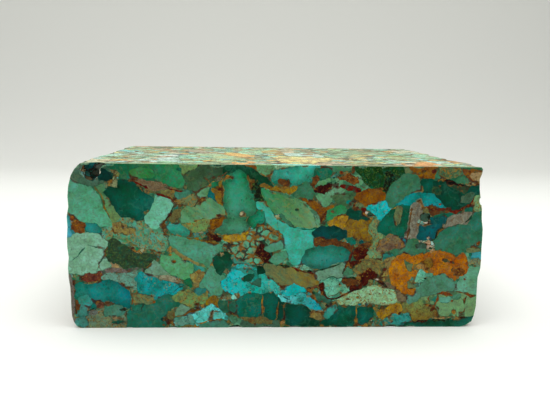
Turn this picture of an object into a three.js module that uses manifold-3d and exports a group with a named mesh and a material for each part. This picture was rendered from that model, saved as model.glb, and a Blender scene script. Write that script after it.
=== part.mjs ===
// A sawn block of compressed turquoise: one solid of stone fragments bonded under pressure.
// Millimetres, +Z up. X runs along the block, -Y is the sawn front face, and the origin is
// the middle of the flat underside.
// The front, back, top and bottom are flat saw cuts. The two ends keep their rough cast skin.
import * as THREE from 'three';
import { mergeVertices } from 'three/addons/utils/BufferGeometryUtils.js';
import Module from 'manifold-3d';

const LENGTH = 157.4;
const DEPTH = 108;
const HEIGHT = 61.5;

// The cast ends: how many lines of relief run across and up, how tall and wide the stones
// pressed into the skin are, and how deep the gaps between them go.
const END_COLUMNS = 34;
const END_ROWS = 20;
const STONE_WIDTH = 13;
const STONE_HEIGHT = 9;
const STONE_STEP = 1.5;
const GAP_WIDTH = 4.2;
const GAP_DEPTH = 1.7;
const GRAIN_DEPTH = 0.5;
const GRAIN_SIZE = 4;
const LEFT_SEED = 40;
const RIGHT_SEED = 70;

// Row heights next to the bottom and top faces, where the ends bend round to meet them.
const EDGE_ROWS = [0, 0.8, 2.2, 4.4];

// Where the skin turns into the front and back: how far in it bends, over how wide a strip,
// and how much of the relief is left there.
const BEVEL_DEPTH = 1.1;
const BEVEL_WIDTH = 2.2;
const BEVEL_RELIEF = 0.3;

// How far each end lies inside the block's full length, at heights from the bottom up,
// in millimetres. The left end leans in at the top and the right end is rounded below.
const LEFT_END = [
  [0, 3.2], [0.8, 1.9], [2.2, 1.1], [5, 0.9], [12, 0.6], [24, 0.1], [37, 0.2], [46, 0.4],
  [52, 0.8], [56, 1.7], [58.5, 2.6], [60.4, 3.8], [HEIGHT, 5.0],
];
const RIGHT_END = [
  [0, 6.8], [0.8, 4.4], [2.2, 2.7], [5, 1.9], [12, 1.3], [22.4, 1.0], [23.4, 0.2], [31, 0.5],
  [38, 0.4], [44, 1.4], [50, 2.5], [56, 2.9], [60.4, 2.1], [HEIGHT, 2.9],
];

// Broken places that show on the front and top: centre, half-sizes, and the shape's seed.
const BREAKS = [
  { at: [-67.9, -54.6, 58.3], size: [3.7, 4.4, 3.0], seed: 3 }, // corner hollow
  { at: [-66.3, -53.2, 61.6], size: [3.0, 3.6, 2.3], seed: 8 }, // hollow mouth
  { at: [-77.4, -56, 62.2], size: [5.2, 9.5, 5.2], seed: 5 }, // front left corner
  { at: [-76.1, -24, 63.0], size: [3.3, 8.5, 2.6], seed: 14 }, // left top edge
  { at: [-76.3, 2, 62.9], size: [4.2, 7.0, 2.7], seed: 21 }, // left top edge, middle
  { at: [-78.2, 53, 60.5], size: [4.0, 6.5, 5.2], seed: 2 }, // left back corner
  { at: [76.9, -55.2, 49.2], size: [2.7, 3.6, 2.3], seed: 6 }, // right notch
  { at: [77.4, -8, 62.6], size: [3.1, 8.0, 2.4], seed: 9 }, // right top edge
  { at: [78.0, 55, 61.0], size: [4.4, 7.5, 3.8], seed: 4 }, // right back corner
  { at: [76.6, -57, -1.6], size: [4.8, 8.5, 4.4], seed: 11 }, // right bottom corner
  { at: [-34.2, -55.3, 62.4], size: [4.2, 2.2, 1.6], seed: 7 }, // top edge flake
  { at: [30.1, -55.2, 62.3], size: [2.6, 1.9, 1.5], seed: 12 }, // top edge flake, right
  { at: [38.0, -55.0, 62.2], size: [1.8, 1.7, 1.4], seed: 13 }, // top edge nick
  { at: [6.6, -55.2, -0.5], size: [3.6, 2.3, 1.6], seed: 15 }, // bottom edge flake
  { at: [-57.6, -54.9, 7.1], size: [2.0, 1.5, 0.9], seed: 16 }, // left bottom crumb
  { at: [54.4, -54.6, 42.6], size: [2.3, 1.8, 2.0], seed: 17 }, // void by the blue stone
  { at: [53.3, -54.5, 31.7], size: [2.6, 1.7, 1.5], seed: 18 }, // void under the blue stone
  { at: [33.6, -54.5, 43.6], size: [1.2, 1.3, 1.2], seed: 19 }, // void in the middle
];

// Small flakes lost along the long sawn edges, how far from the ends they stay, and how
// far outside the edge a flake's middle lies, as a share of its radius.
const FLAKES_PER_EDGE = 7;
const FLAKE_RADIUS = [1.0, 2.1];
const FLAKE_END_GAP = 9;
const FLAKE_OUTSIDE = [0.35, 0.6];
const FLAKE_LIFT = 0.7;
const FLAKE_SHAPE = [1.9, 1, 0.9];

// Small voids open on the top and the back, how far from the edges they stay, and how far
// outside the face a void's middle lies, as a share of its radius.
const VOIDS = 11;
const VOID_RADIUS = [1.2, 2.4];
const VOID_EDGE_GAP = 10;
const VOID_OUTSIDE = 0.25;
const VOID_SHAPE = [1.3, 1, 1];

// How uneven a breaking stone's surface is, as shares of its radius.
const LEAST_REACH = 0.82;
const MOST_REACH = 1.18;

const STONE_COLOR = 0x3f8a78;

// A repeatable value from 0 to 1 for a whole-number place.
function scatter(i, j, seed) {
  let h = Math.imul(i, 374761393) + Math.imul(j, 668265263) + Math.imul(seed, 974634777);
  h = Math.imul(h ^ (h >>> 13), 1274126177);
  return ((h ^ (h >>> 16)) >>> 0) / 4294967296;
}

// Reads a list of [place, value] pairs at one place, in straight runs between them.
function along(pairs, place) {
  const next = pairs.findIndex((pair) => pair[0] >= place);
  if (next <= 0) {
    return pairs[0][1];
  }
  const [a, b] = [pairs[next - 1], pairs[next]];
  return THREE.MathUtils.mapLinear(place, a[0], b[0], a[1], b[1]);
}

// Smoothly varying value from 0 to 1 over a plane.
function swell(u, v, seed) {
  const [i, j] = [Math.floor(u), Math.floor(v)];
  const [s, t] = [THREE.MathUtils.smoothstep(u - i, 0, 1), THREE.MathUtils.smoothstep(v - j, 0, 1)];
  const low = THREE.MathUtils.lerp(scatter(i, j, seed), scatter(i + 1, j, seed), s);
  const high = THREE.MathUtils.lerp(scatter(i, j + 1, seed), scatter(i + 1, j + 1, seed), s);
  return THREE.MathUtils.lerp(low, high, t);
}

// Depth of the skin's relief below its fullest point: stones pressed against the mould,
// each set back by its own step, with narrow gaps between them and a finer grain over all.
function skinRelief(y, z, seed) {
  const [u, v] = [y / STONE_WIDTH, z / STONE_HEIGHT];
  let [nearest, second, step] = [Infinity, Infinity, 0];
  for (let i = Math.floor(u) - 1; i <= Math.floor(u) + 1; i++) {
    for (let j = Math.floor(v) - 1; j <= Math.floor(v) + 1; j++) {
      const du = (i + scatter(i, j, seed) - u) * STONE_WIDTH;
      const dv = (j + scatter(i, j, seed + 1) - v) * STONE_HEIGHT;
      const away = Math.hypot(du, dv);
      if (away < nearest) {
        [nearest, second, step] = [away, nearest, scatter(i, j, seed + 2)];
      } else if (away < second) {
        second = away;
      }
    }
  }
  const gap = 1 - THREE.MathUtils.smoothstep(second - nearest, 0, GAP_WIDTH);
  const grain = swell(y / GRAIN_SIZE, z / GRAIN_SIZE, seed + 3);
  return step * step * STONE_STEP + gap * GAP_DEPTH + grain * GRAIN_DEPTH;
}

// Heights of the relief's rows, closer together where the ends turn into the sawn faces.
function rowHeight(row) {
  const last = EDGE_ROWS.length - 1;
  if (row <= last) {
    return EDGE_ROWS[row];
  }
  if (row >= END_ROWS - last) {
    return HEIGHT - EDGE_ROWS[END_ROWS - row];
  }
  const share = (row - last) / (END_ROWS - 2 * last);
  return THREE.MathUtils.lerp(EDGE_ROWS[last], HEIGHT - EDGE_ROWS[last], share);
}

// The block before it is chipped: a box whose ends are moved in, row by row.
function castBlock() {
  const geometry = new THREE.BoxGeometry(LENGTH, DEPTH, HEIGHT, 1, END_COLUMNS, END_ROWS);
  const position = geometry.getAttribute('position');
  for (let k = 0; k < position.count; k++) {
    const side = Math.sign(position.getX(k));
    const [outline, seed] = side < 0 ? [LEFT_END, LEFT_SEED] : [RIGHT_END, RIGHT_SEED];
    const y = position.getY(k);
    const z = rowHeight(Math.round((position.getZ(k) / HEIGHT + 0.5) * END_ROWS));
    const bevel = 1 - THREE.MathUtils.smoothstep(DEPTH / 2 - Math.abs(y), 0, BEVEL_WIDTH);
    const relief = skinRelief(y, z, seed) * THREE.MathUtils.lerp(1, BEVEL_RELIEF, bevel);
    const inset = along(outline, z) + bevel * BEVEL_DEPTH + relief;
    position.setXYZ(k, side * (LENGTH / 2 - inset), y, z);
  }
  return geometry;
}

// An irregular stone used to break pieces out of the block.
function breakingStone({ at, size, seed }) {
  const geometry = new THREE.IcosahedronGeometry(1, 1);
  const position = geometry.getAttribute('position');
  const point = new THREE.Vector3();
  for (let k = 0; k < position.count; k++) {
    point.fromBufferAttribute(position, k);
    const key = point.clone().multiplyScalar(50).round();
    const share = scatter(key.x + 7 * key.y, key.z, seed);
    point.multiplyScalar(THREE.MathUtils.lerp(LEAST_REACH, MOST_REACH, share));
    position.setXYZ(k, point.x, point.y, point.z);
  }
  geometry.rotateX(seed);
  geometry.rotateZ(seed * 0.7);
  geometry.scale(...size);
  geometry.translate(...at);
  return geometry;
}

// Flakes scattered along the four long sawn edges, away from the ends.
function edgeFlakes() {
  const flakes = [];
  const edges = [[-1, 0], [-1, 1], [1, 0], [1, 1]];
  edges.forEach(([side, up], edge) => {
    for (let n = 0; n < FLAKES_PER_EDGE; n++) {
      const share = (n + scatter(n, edge, 31)) / FLAKES_PER_EDGE;
      const radius = THREE.MathUtils.lerp(...FLAKE_RADIUS, scatter(n, edge, 32));
      const outside = radius * THREE.MathUtils.lerp(...FLAKE_OUTSIDE, scatter(n, edge, 33));
      const x = (share - 0.5) * (LENGTH - 2 * FLAKE_END_GAP);
      const z = up ? HEIGHT + outside * FLAKE_LIFT : -outside * FLAKE_LIFT;
      const at = [x, side * (DEPTH / 2 + outside), z];
      const size = FLAKE_SHAPE.map((share) => share * radius);
      flakes.push({ at, size, seed: 50 + n + 10 * edge });
    }
  });
  return flakes;
}

// Small open voids between stones, on the top and the back.
function faceVoids() {
  const voids = [];
  for (let n = 0; n < VOIDS; n++) {
    const radius = THREE.MathUtils.lerp(...VOID_RADIUS, scatter(n, 1, 90));
    const outside = radius * VOID_OUTSIDE;
    const across = scatter(n, 3, 90) - 0.5;
    const onTop = n % 2 === 0;
    const x = (scatter(n, 2, 90) - 0.5) * (LENGTH - 2 * VOID_EDGE_GAP);
    const y = onTop ? across * (DEPTH - 2 * VOID_EDGE_GAP) : DEPTH / 2 + outside;
    const z = onTop ? HEIGHT + outside : HEIGHT / 2 + across * (HEIGHT - 2 * VOID_EDGE_GAP);
    voids.push({ at: [x, y, z], size: VOID_SHAPE.map((share) => share * radius), seed: 120 + n });
  }
  return voids;
}

const wasm = await Module();
wasm.setup();

// A closed three.js geometry as a solid that can be cut.
function toSolid(geometry) {
  const bare = geometry.clone();
  bare.deleteAttribute('normal');
  bare.deleteAttribute('uv');
  const merged = mergeVertices(bare, 1e-4);
  const vertProperties = new Float32Array(merged.getAttribute('position').array);
  const triVerts = new Uint32Array(merged.getIndex().array);
  return new wasm.Manifold(new wasm.Mesh({ numProp: 3, vertProperties, triVerts }));
}

function toGeometry(solid) {
  const mesh = solid.getMesh();
  const geometry = new THREE.BufferGeometry();
  geometry.setAttribute('position', new THREE.BufferAttribute(mesh.vertProperties, 3));
  geometry.setIndex(new THREE.BufferAttribute(mesh.triVerts, 1));
  geometry.computeVertexNormals();
  return geometry;
}

// The chipped block, moved so that the middle of its length is at the origin.
function chippedBlock() {
  let solid = toSolid(castBlock());
  for (const stone of [...BREAKS, ...edgeFlakes(), ...faceVoids()]) {
    solid = solid.subtract(toSolid(breakingStone(stone)));
  }
  const geometry = toGeometry(solid);
  geometry.computeBoundingBox();
  const middle = geometry.boundingBox.getCenter(new THREE.Vector3());
  return geometry.translate(-middle.x, 0, 0);
}

const block = new THREE.Mesh(
  chippedBlock(),
  new THREE.MeshStandardMaterial({ color: STONE_COLOR, roughness: 0.5, metalness: 0 }),
);
block.name = 'turquoise_block';

const part = new THREE.Group();
part.add(block);

export default part;
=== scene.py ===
import math
import random

import bmesh
import bpy
import numpy as np
from mathutils import Matrix, Vector, kdtree, noise
from mathutils.geometry import delaunay_2d_cdt


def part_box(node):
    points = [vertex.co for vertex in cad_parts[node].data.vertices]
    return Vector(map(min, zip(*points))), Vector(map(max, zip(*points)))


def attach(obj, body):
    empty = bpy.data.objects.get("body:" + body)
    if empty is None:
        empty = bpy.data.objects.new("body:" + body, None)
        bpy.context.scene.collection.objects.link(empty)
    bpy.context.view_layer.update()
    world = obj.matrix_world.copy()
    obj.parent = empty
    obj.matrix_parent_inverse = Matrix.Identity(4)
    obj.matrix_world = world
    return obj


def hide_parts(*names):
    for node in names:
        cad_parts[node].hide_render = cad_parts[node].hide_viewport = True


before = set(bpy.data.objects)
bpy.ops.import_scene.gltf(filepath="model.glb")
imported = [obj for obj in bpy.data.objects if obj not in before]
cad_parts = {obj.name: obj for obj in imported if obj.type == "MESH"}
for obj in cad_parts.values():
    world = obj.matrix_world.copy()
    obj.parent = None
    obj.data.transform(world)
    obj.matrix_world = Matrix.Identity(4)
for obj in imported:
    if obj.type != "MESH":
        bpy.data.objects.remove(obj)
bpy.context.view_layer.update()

bl_info = {
    "name": "Compressed turquoise block",
    "version": (1, 0, 0),
    "blender": (4, 5, 0),
    "location": "View3D > Sidebar > Stone",
    "description": "Builds the looks of a sawn block of compressed turquoise",
    "category": "Object",
}

BLOCK_LOW, BLOCK_HIGH = [Vector(corner) * 1000 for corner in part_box("turquoise_block")]
MM = 0.001
# How near points are, in millimetres, to lie on one plane or to touch, and to be merged in a
# sawn face.
TOUCHING = 1e-3
MERGED = 1e-5

# Colours of the stones, as they look in daylight.
TONES = {
    "azure": 0x008C9A,
    "cyan": 0x14A5A5,
    "cyan_deep": 0x009696,
    "pale_cyan": 0x57BEB6,
    "dull_cyan": 0x4A948A,
    "lagoon": 0x168482,
    "deep_azure": 0x047678,
    "petrol": 0x025A5E,
    "blue": 0x00647C,
    "sky": 0x42A5AE,
    "teal": 0x007D6E,
    "teal_mist": 0x2E8379,
    "sea_teal": 0x227967,
    "sea": 0x14705A,
    "deep_sea": 0x1C6250,
    "deep_teal": 0x005B4A,
    "pine_teal": 0x065C42,
    "ink_pine": 0x004634,
    "ink_teal": 0x00342C,
    "ink_blue": 0x004440,
    "ink_jade": 0x1E5440,
    "emerald": 0x18805A,
    "jade": 0x28784B,
    "jade_grey": 0x30664A,
    "grey_teal": 0x39725E,
    "forest": 0x0C4E37,
    "bottle": 0x0E3612,
    "leaf": 0x34682D,
    "fern": 0x38593A,
    "fern_grey": 0x587158,
    "moss": 0x3C7355,
    "pine_grey": 0x3B5A48,
    # Partly pale dust of sawing, partly a painted sheen on the top face.
    "dust": 0xE6E2B4,
    "spring": 0x4C8F60,
    "turquoise": 0x389E8A,
    "pale_turquoise": 0x62A88C,
    "mint": 0x4F9A78,
    "sea_mint": 0x46866A,
    "mint_grey": 0x589276,
    "haze_mint": 0x5A8C7A,
    "pale_mint": 0x74B493,
    "chalk_mint": 0x70A287,
    "grey_mint": 0x4A7A66,
    "sage": 0x648C5F,
    "sage_green": 0x50845A,
    "sage_mint": 0x548A64,
    "grey_sage": 0x5F8870,
    "dull_sage": 0x5A7D56,
    "pale_sage": 0x7DAC82,
    "olive_sage": 0x5F7D48,
    "lichen": 0x5A6A46,
    "olive": 0x4B6428,
    "olive_gold": 0x765E1C,
    "olive_tan": 0x7C7440,
    "olive_brown": 0x5C5C34,
    "dark_olive": 0x263A26,
    "black_olive": 0x0F160A,
    "beige": 0xA59E7A,
    "beige_grey": 0x84866C,
    "beige_sage": 0x76805A,
    "sand": 0x927C54,
    "buff": 0x92703C,
    "tan": 0xA07C4A,
    "gold": 0x8C7026,
    "mustard": 0x967823,
    "ochre": 0x8C6422,
    "amber": 0xA86C0C,
    "orange": 0x96560E,
    "burnt": 0x72480A,
    "rust": 0x783C12,
    "umber": 0x6C421A,
    "cocoa": 0x624230,
    "rust_pink": 0x704834,
    "brown": 0x583E22,
    "dark_umber": 0x543418,
    "maroon": 0x5C3024,
    "dark_red": 0x561008,
    "hematite": 0x461812,
    "blood": 0x3A0C06,
    "black_red": 0x280808,
    "black": 0x0C0A08,
    "taupe": 0x685A42,
    "pink_grey": 0x86705F,
    "stone_grey": 0x727262,
    "grey": 0x8C8674,
    "slate": 0x5A645E,
    "purple_grey": 0x66605A,
    "off_white": 0xC3BCA8,
}

# The stones in the front face: kind, tone and outline as x and height in millimetres. A tone
# of three values runs from the first colour to the second in the direction of the angle.
FRONT_STONES = (
    # Upper left.
    ("speckled", "sea_mint", ((-70, 40), (-70, 36.5), (-66, 35), (-60, 33), (-55, 31), (-47, 30.5),
        (-42, 29.5), (-40, 33), (-42, 36), (-46, 39.5), (-50, 41), (-57, 43.5), (-62, 44.2))),
    ("cloudy", ("sea_mint", "mint", -50), ((-75.4, 56), (-68, 53.9), (-66, 52.2), (-63.2, 46.5),
        (-60.2, 40), (-64, 38.6), (-69.8, 40.2), (-73, 40.4), (-77.4, 44.6), (-77, 52))),
    ("cloudy", ("olive_sage", "moss", 90), ((-67.5, 54.3), (-64.5, 54.6), (-62.5, 50),
        (-60.5, 46.5), (-57.8, 42.6), (-60, 40.4), (-62.8, 45), (-66, 52.2))),
    ("cloudy", "pine_grey", ((-75.5, 57), (-73, 62), (-63, 62), (-61, 60), (-63.4, 54.8), (-69, 53.8))),
    ("clear", "ink_teal", ((-65.3, 58.5), (-63.8, 59.6), (-60.2, 58), (-60.6, 55.3), (-64.4, 55.6))),
    ("chalk", "beige_sage", ((-58.8, 57), (-58.1, 53.2), (-60, 52.1), (-60.8, 53.2), (-59.4, 56))),
    ("clear", ("ink_pine", "deep_teal", -20), ((-57.9, 55.3), (-55.6, 55.6), (-51, 53.6),
        (-48.6, 50.4), (-45.6, 48.4), (-46.1, 45.8), (-50, 44.4), (-49, 41.7), (-52, 41.1),
        (-53.4, 42.4), (-57.5, 42.7), (-60.4, 46.6), (-63.2, 51), (-61.8, 53), (-58.6, 52))),
    ("cloudy", ("forest", "jade", 0), ((-61.5, 60.8), (-60.5, 62.5), (-35, 62.5), (-33, 58.5),
        (-33.5, 54.5), (-40.2, 52.4), (-45, 55), (-57.4, 56.2), (-57.7, 58.5))),
    ("cloudy", ("leaf", "jade", 0), ((-54, 58.6), (-50, 60), (-45.5, 59), (-46, 56.6), (-53.6, 56.8))),
    ("chalk", "taupe", ((-53.6, 56.2), (-50, 55.4), (-43, 54.5), (-38.5, 52), (-44, 50.8), (-48.3, 53.4))),
    ("speckled", "olive_brown", ((-46.4, 51.2), (-38.5, 52), (-35.5, 51.6), (-38.4, 48.4), (-40.2, 49.8))),
    ("cloudy", "pale_turquoise", ((-45, 50.3), (-40.5, 49), (-38.6, 45.8), (-41.2, 41.4),
        (-45, 38.3), (-46.8, 38.6), (-49, 41.6), (-45.4, 47.3))),
    ("clear", "sea_teal", ((-69.8, 39.4), (-66.6, 39), (-65.2, 37.4), (-65.6, 35.4), (-69.8, 36.4))),
    ("clear", "sky", ((-78, 43.4), (-74.4, 40.2), (-73.8, 37.2), (-76.4, 32), (-78, 34))),
    ("rust", "umber", ((-73.6, 40.2), (-71.4, 40), (-70.8, 39), (-71.5, 36.3), (-73.2, 36), (-75.4, 38.6))),
    ("ochre", "olive_tan", ((-60, 39.4), (-55.8, 39.2), (-57.4, 38.2), (-52.4, 37.3), (-54.5, 36),
        (-59.8, 36.5))),
    ("ochre", "olive_tan", ((-54.6, 33.1), (-52.2, 31.4), (-53.2, 31), (-54.6, 32))),
    # Lower left.
    ("cloudy", "chalk_mint", ((-78, 33), (-74.5, 35.2), (-70, 36), (-66, 35.2), (-62.2, 31.4),
        (-63.6, 28.2), (-61.5, 23), (-66.8, 20.3), (-71, 20.3), (-78, 22.5))),
    ("dark", "dark_olive", ((-60.8, 33), (-57, 31.6), (-52.5, 28.8), (-45.2, 27.9), (-45, 26.4),
        (-48.4, 21.8), (-56.5, 22), (-62.4, 25.4), (-63.4, 28.2))),
    ("chalk", "sand", ((-62, 25.2), (-56.2, 22.2), (-60.6, 22.7))),
    ("chalk", "purple_grey", ((-65.4, 20.8), (-62, 22.4), (-50, 22.3), (-57.5, 20.3), (-64.6, 20))),
    ("rust", "maroon", ((-73, 19), (-71.4, 20.2), (-65.6, 21.3), (-64.4, 20), (-67.2, 17.8), (-71, 18.2))),
    ("chalk", "haze_mint", ((-64.8, 19.4), (-62, 20.6), (-50.5, 21.4), (-51, 14.5), (-57.5, 17.5),
        (-62, 17.9))),
    ("clear", ("sea", "deep_azure", 0), ((-74.3, 16.5), (-72.4, 17.3), (-70.8, 16.2), (-62.6, 17.9),
        (-59.5, 17.5), (-55.6, 13.2), (-54.5, 8.9), (-56.4, 8), (-61.6, 10), (-67, 10.6), (-67.6, 8),
        (-70.3, 7.4), (-73.3, 8.4), (-75, 12.8))),
    ("cloudy", "teal_mist", ((-73.6, 11.4), (-71, 12.4), (-69, 10.6), (-70.4, 8.4), (-73, 8.8))),
    ("crazed", "lagoon", ((-52, 19.6), (-50.4, 21), (-46.6, 20.3), (-40.5, 18.8), (-35.4, 17),
        (-36.5, 14.6), (-39.5, 12.4), (-45, 11.4), (-50.2, 12.6), (-51.6, 14.4))),
    ("chalk", "beige_grey", ((-46.2, 20.8), (-41.5, 20.8), (-35.2, 17.6), (-38.2, 17.3), (-45.3, 19.6))),
    ("cloudy", "grey_sage", ((-48.6, 21.6), (-46, 25.8), (-43.5, 24.5), (-40, 21), (-46.4, 20.9))),
    ("speckled", "lichen", ((-54, 9.2), (-53.8, 12.5), (-51.5, 13.6), (-47, 11.6), (-45.2, 10),
        (-49.5, 8.8))),
    ("clear", "sea_teal", ((-54.3, 8.6), (-49.5, 8.4), (-48, 6.5), (-49.5, 5), (-55.5, 5))),
    ("cloudy", "deep_sea", ((-55.5, 5.2), (-50, 5.4), (-49.8, 8.2), (-46, 9.2), (-44.5, 11.2),
        (-39.5, 12.2), (-37, 9), (-39.8, 7.4), (-41.2, 2.6), (-44.8, -0.5), (-56, -0.5))),
    ("ochre", "olive_brown", ((-41, 5), (-39.8, 6.5), (-37.9, 4), (-38.2, 2.4), (-40.8, 3.4))),
    ("speckled", "fern_grey", ((-71, -0.5), (-70, 5), (-64, 8), (-58, 7.4), (-57, -0.5))),
    ("clear", "dull_cyan", ((-75.4, 2.5), (-72, 4.2), (-70.8, 1.6), (-72.6, 0.8))),
    ("clear", "dull_cyan", ((-73.8, 8.2), (-71.8, 8.6), (-69.8, 5.6), (-74.4, 5))),
    ("rust", "dark_umber", ((-74.9, 10.4), (-73.5, 8.6), (-74.3, 5.8), (-75.6, 8.5))),
    ("chalk", "slate", ((-69.6, 7), (-66.8, 6.2), (-68, 5.2), (-69.6, 5.4))),
    ("rust", "cocoa", ((-67, 10.1), (-63.8, 9.3), (-61.6, 9.9), (-63.2, 8.3), (-66.6, 8))),
    ("cloudy", "grey_teal", ((-64, 5), (-64, 8.3), (-58.6, 8.5), (-57, 6), (-60, 4.6))),
    ("chalk", "sand", ((-61.5, 4.2), (-57.6, 3.6), (-61.8, 3.4))),
    ("clear", "deep_teal", ((-62, 2), (-60, 2.8), (-57.8, 2.2), (-59.5, 1.6))),
    ("chalk", "purple_grey", ((-79, 2), (-76, 3), (-75.8, 12), (-76, 20), (-79, 21))),
    # Upper middle, left of the centre.
    ("cloudy", "olive_sage", ((-36.5, 62.5), (-29, 62.5), (-28.6, 60.4), (-32, 58.2), (-34.6, 57.6))),
    ("cloudy", ("fern", "dark_olive", 55), ((-34.5, 57.5), (-29.5, 60), (-28.5, 62.5), (-20, 62.5),
        (-20.3, 59), (-25, 55.5), (-30.5, 51.5), (-33, 50.4), (-33, 54))),
    ("clear", "deep_azure", ((-27.4, 51.6), (-24.5, 52.2), (-22.6, 48.9), (-23.4, 48.4), (-26.2, 50.2))),
    ("clear", "jade", ((-24.6, 54.8), (-22, 55), (-22.3, 53.4), (-23.4, 52.2))),
    ("ochre", "olive_gold", ((-21.4, 55.2), (-20, 52.8), (-20.9, 51), (-20.3, 47.4), (-21.8, 47.2),
        (-22.6, 50.2), (-24.2, 52), (-22, 53.5))),
    ("clear", ("sea_mint", "emerald", 75), ((-19.6, 56.6), (-17, 59.4), (-14.5, 59.8), (-12, 59),
        (-10.9, 56), (-9.4, 51), (-7.9, 47), (-8.2, 45), (-10.5, 43), (-10.8, 38.5), (-14.8, 35.6),
        (-24.6, 36.8), (-21.5, 39.6), (-19.6, 42.5), (-20.4, 49.4))),
    ("clear", "emerald", ((-11, 42), (-7.5, 44.6), (-5.2, 44.4), (-5.1, 39.8), (-8.6, 38), (-11.2, 40))),
    ("clear", "forest", ((-20, 62.5), (-12, 62.5), (-9.3, 60.6), (-4.8, 56.6), (-2, 53.6),
        (-6.4, 54.4), (-10, 53.6), (-11.6, 58.6), (-15, 60), (-20.5, 57.8))),
    ("dark", "black_olive", ((-9.9, 55.2), (-7.6, 55), (-6, 51.6), (-5.6, 50), (-7.6, 47.6), (-9.3, 51.2))),
    ("ochre", "burnt", ((-12, 61.5), (-8.6, 61.3), (-7, 58.9), (-9.8, 60.4))),
    ("chalk", "sage_green", ((-8.8, 62.5), (-3.2, 62.5), (-0.8, 60.2), (-2.2, 58.6), (-6.4, 58.2),
        (-8.2, 59.8))),
    ("rust", "burnt", ((-26.8, 39.6), (-24.5, 41.4), (-19.6, 41.9), (-21.5, 39.8), (-25, 37.2))),
    ("rust", "black_red", ((-25, 35.2), (-23.4, 35.8), (-21.3, 33.4), (-24.4, 33.2))),
    ("speckled", "olive_sage", ((-36, 41.5), (-26, 42), (-25.6, 38.6), (-28, 36.4), (-36, 38))),
    ("streaky", "sage_mint", ((-36.8, 45.4), (-33, 46.4), (-28, 48.8), (-24.5, 48.6), (-20.8, 45.4),
        (-20, 43), (-26, 42), (-34, 40.6), (-38, 41))),
    ("clear", "turquoise", ((-40.6, 38.5), (-36.5, 39.5), (-32.9, 36.6), (-33.4, 35.3), (-38, 36.2))),
    ("chalk", "olive_brown", ((-36.2, 45.5), (-39, 43.4), (-40.8, 41), (-38.5, 40.8), (-36.8, 42.5))),
    ("speckled", "lichen", ((-36.8, 49.8), (-30.5, 50.4), (-26.6, 49.8), (-31, 46.6), (-36.8, 47.2))),
    ("cloudy", "sage_mint", ((-30.2, 50.6), (-25.9, 52.6), (-27, 50.2), (-29, 50))),
    ("cloudy", "grey_teal", ((-37.5, 50.6), (-33.4, 52), (-31.5, 51.2), (-36.6, 49.6))),
    # Lower middle, left of the centre.
    ("cloudy", "sea_mint", ((-40.8, 33.2), (-39.6, 34.8), (-33, 34.5), (-24, 31.5), (-21, 32.6),
        (-20.4, 29), (-22.6, 28.8), (-26.4, 23.4), (-30.5, 25.2), (-37, 29.6))),
    ("streaky", "olive_tan", ((-39, 30.2), (-35, 27.6), (-28, 24), (-26.2, 21.7), (-30.2, 24.5),
        (-38.6, 28.8))),
    ("cloudy", "spring", ((-44.2, 25.4), (-43, 27.4), (-38.8, 28.6), (-34.6, 25.2), (-26.8, 22.6),
        (-28, 21), (-31, 21.2), (-33, 19.2), (-35.5, 19), (-42.5, 23.2))),
    ("clear", "turquoise", ((-31, 24.2), (-27.5, 22.4), (-28.4, 21.6), (-31, 22.6))),
    ("clear", "emerald", ((-34.6, 18.4), (-33, 18.8), (-31.9, 15.8), (-34.8, 17.2))),
    ("ochre", "olive_tan", ((-29.6, 22.2), (-26.6, 20.6), (-27.8, 18.4), (-30.2, 15.6),
        (-31.4, 18.4), (-32.2, 19.8))),
    ("cloudy", "sea_mint", ((-26.2, 21.6), (-24.6, 23.4), (-21, 20.6), (-19.2, 19), (-21, 16),
        (-21.2, 12), (-26.2, 11.2), (-28.6, 15.6), (-27.8, 18.4))),
    ("clear", "forest", ((-24.2, 27), (-21.5, 29.2), (-18.2, 28.6), (-16.5, 26.6), (-18.4, 23.4),
        (-20, 24), (-21.4, 20.4), (-23.4, 24.2))),
    ("chalk", "sand", ((-21.6, 29.2), (-19.8, 28.2), (-21.2, 27.8))),
    ("clear", "turquoise", ((-17.2, 27.6), (-12.8, 26.6), (-8, 24.2), (-11, 24.4), (-16.6, 25.4))),
    ("crazed", ("cyan", "turquoise", 0), ((-17.3, 22.8), (-14.8, 24.2), (-9.2, 23), (-7.6, 20.8),
        (-5, 20.8), (-4.6, 18.8), (-1.2, 18.4), (2, 15.2), (0, 13.4), (-7.9, 12.7), (-11.4, 13.6),
        (-14.4, 11), (-16.5, 12.8), (-20.4, 14.4), (-21.2, 17), (-18.6, 19.4))),
    ("clear", "forest", ((-13.2, 19), (-9.8, 21.3), (-9, 20.4), (-9.9, 18.7), (-13, 18))),
    ("clear", "grey_teal", ((-9.4, 17.6), (-6.6, 18.8), (-6.8, 16.4), (-9.3, 16.6))),
    ("clear", "turquoise", ((-15.5, 22.6), (-13, 21.8), (-9.6, 21.6), (-11, 22.4))),
    ("clear", "ink_pine", ((-8, 23.9), (-4.4, 23.6), (-4.2, 21.4), (-7.4, 21.1))),
    ("web", "mint", ((-20.6, 33.4), (-20.4, 35), (-11.4, 36), (-7, 38.8), (-3.4, 39.3), (0.4, 37.2),
        (3.3, 31.8), (4.2, 26), (-1.8, 24), (-8.4, 24.4), (-17.6, 29), (-20.3, 30.4))),
    ("ochre", "mustard", ((-20, 34), (-20, 35.2), (-14, 35.2), (-12, 36), (-12.4, 34.4), (-16, 33.6))),
    ("rust", "black_red", ((-6.4, 31.8), (-5.6, 33.4), (-5.2, 30.4), (-2.6, 29), (-2.2, 25.4),
        (-4, 24.6), (-8.4, 28.4))),
    ("cloudy", "sea_mint", ((-5.2, 30.2), (-3.6, 31.4), (1, 33), (3, 31.8), (-3.4, 29.4))),
    ("cloudy", "sea_mint", ((-2.8, 26), (-1.4, 27.8), (3, 29.5), (3.4, 27.6), (-0.4, 25))),
    ("speckled", "olive_sage", ((-39.2, 11.6), (-35.8, 13.9), (-33.2, 14.6), (-30.2, 12.6),
        (-27.2, 13.4), (-26.5, 10.8), (-32.5, 7.6), (-37, 10.6))),
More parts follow.
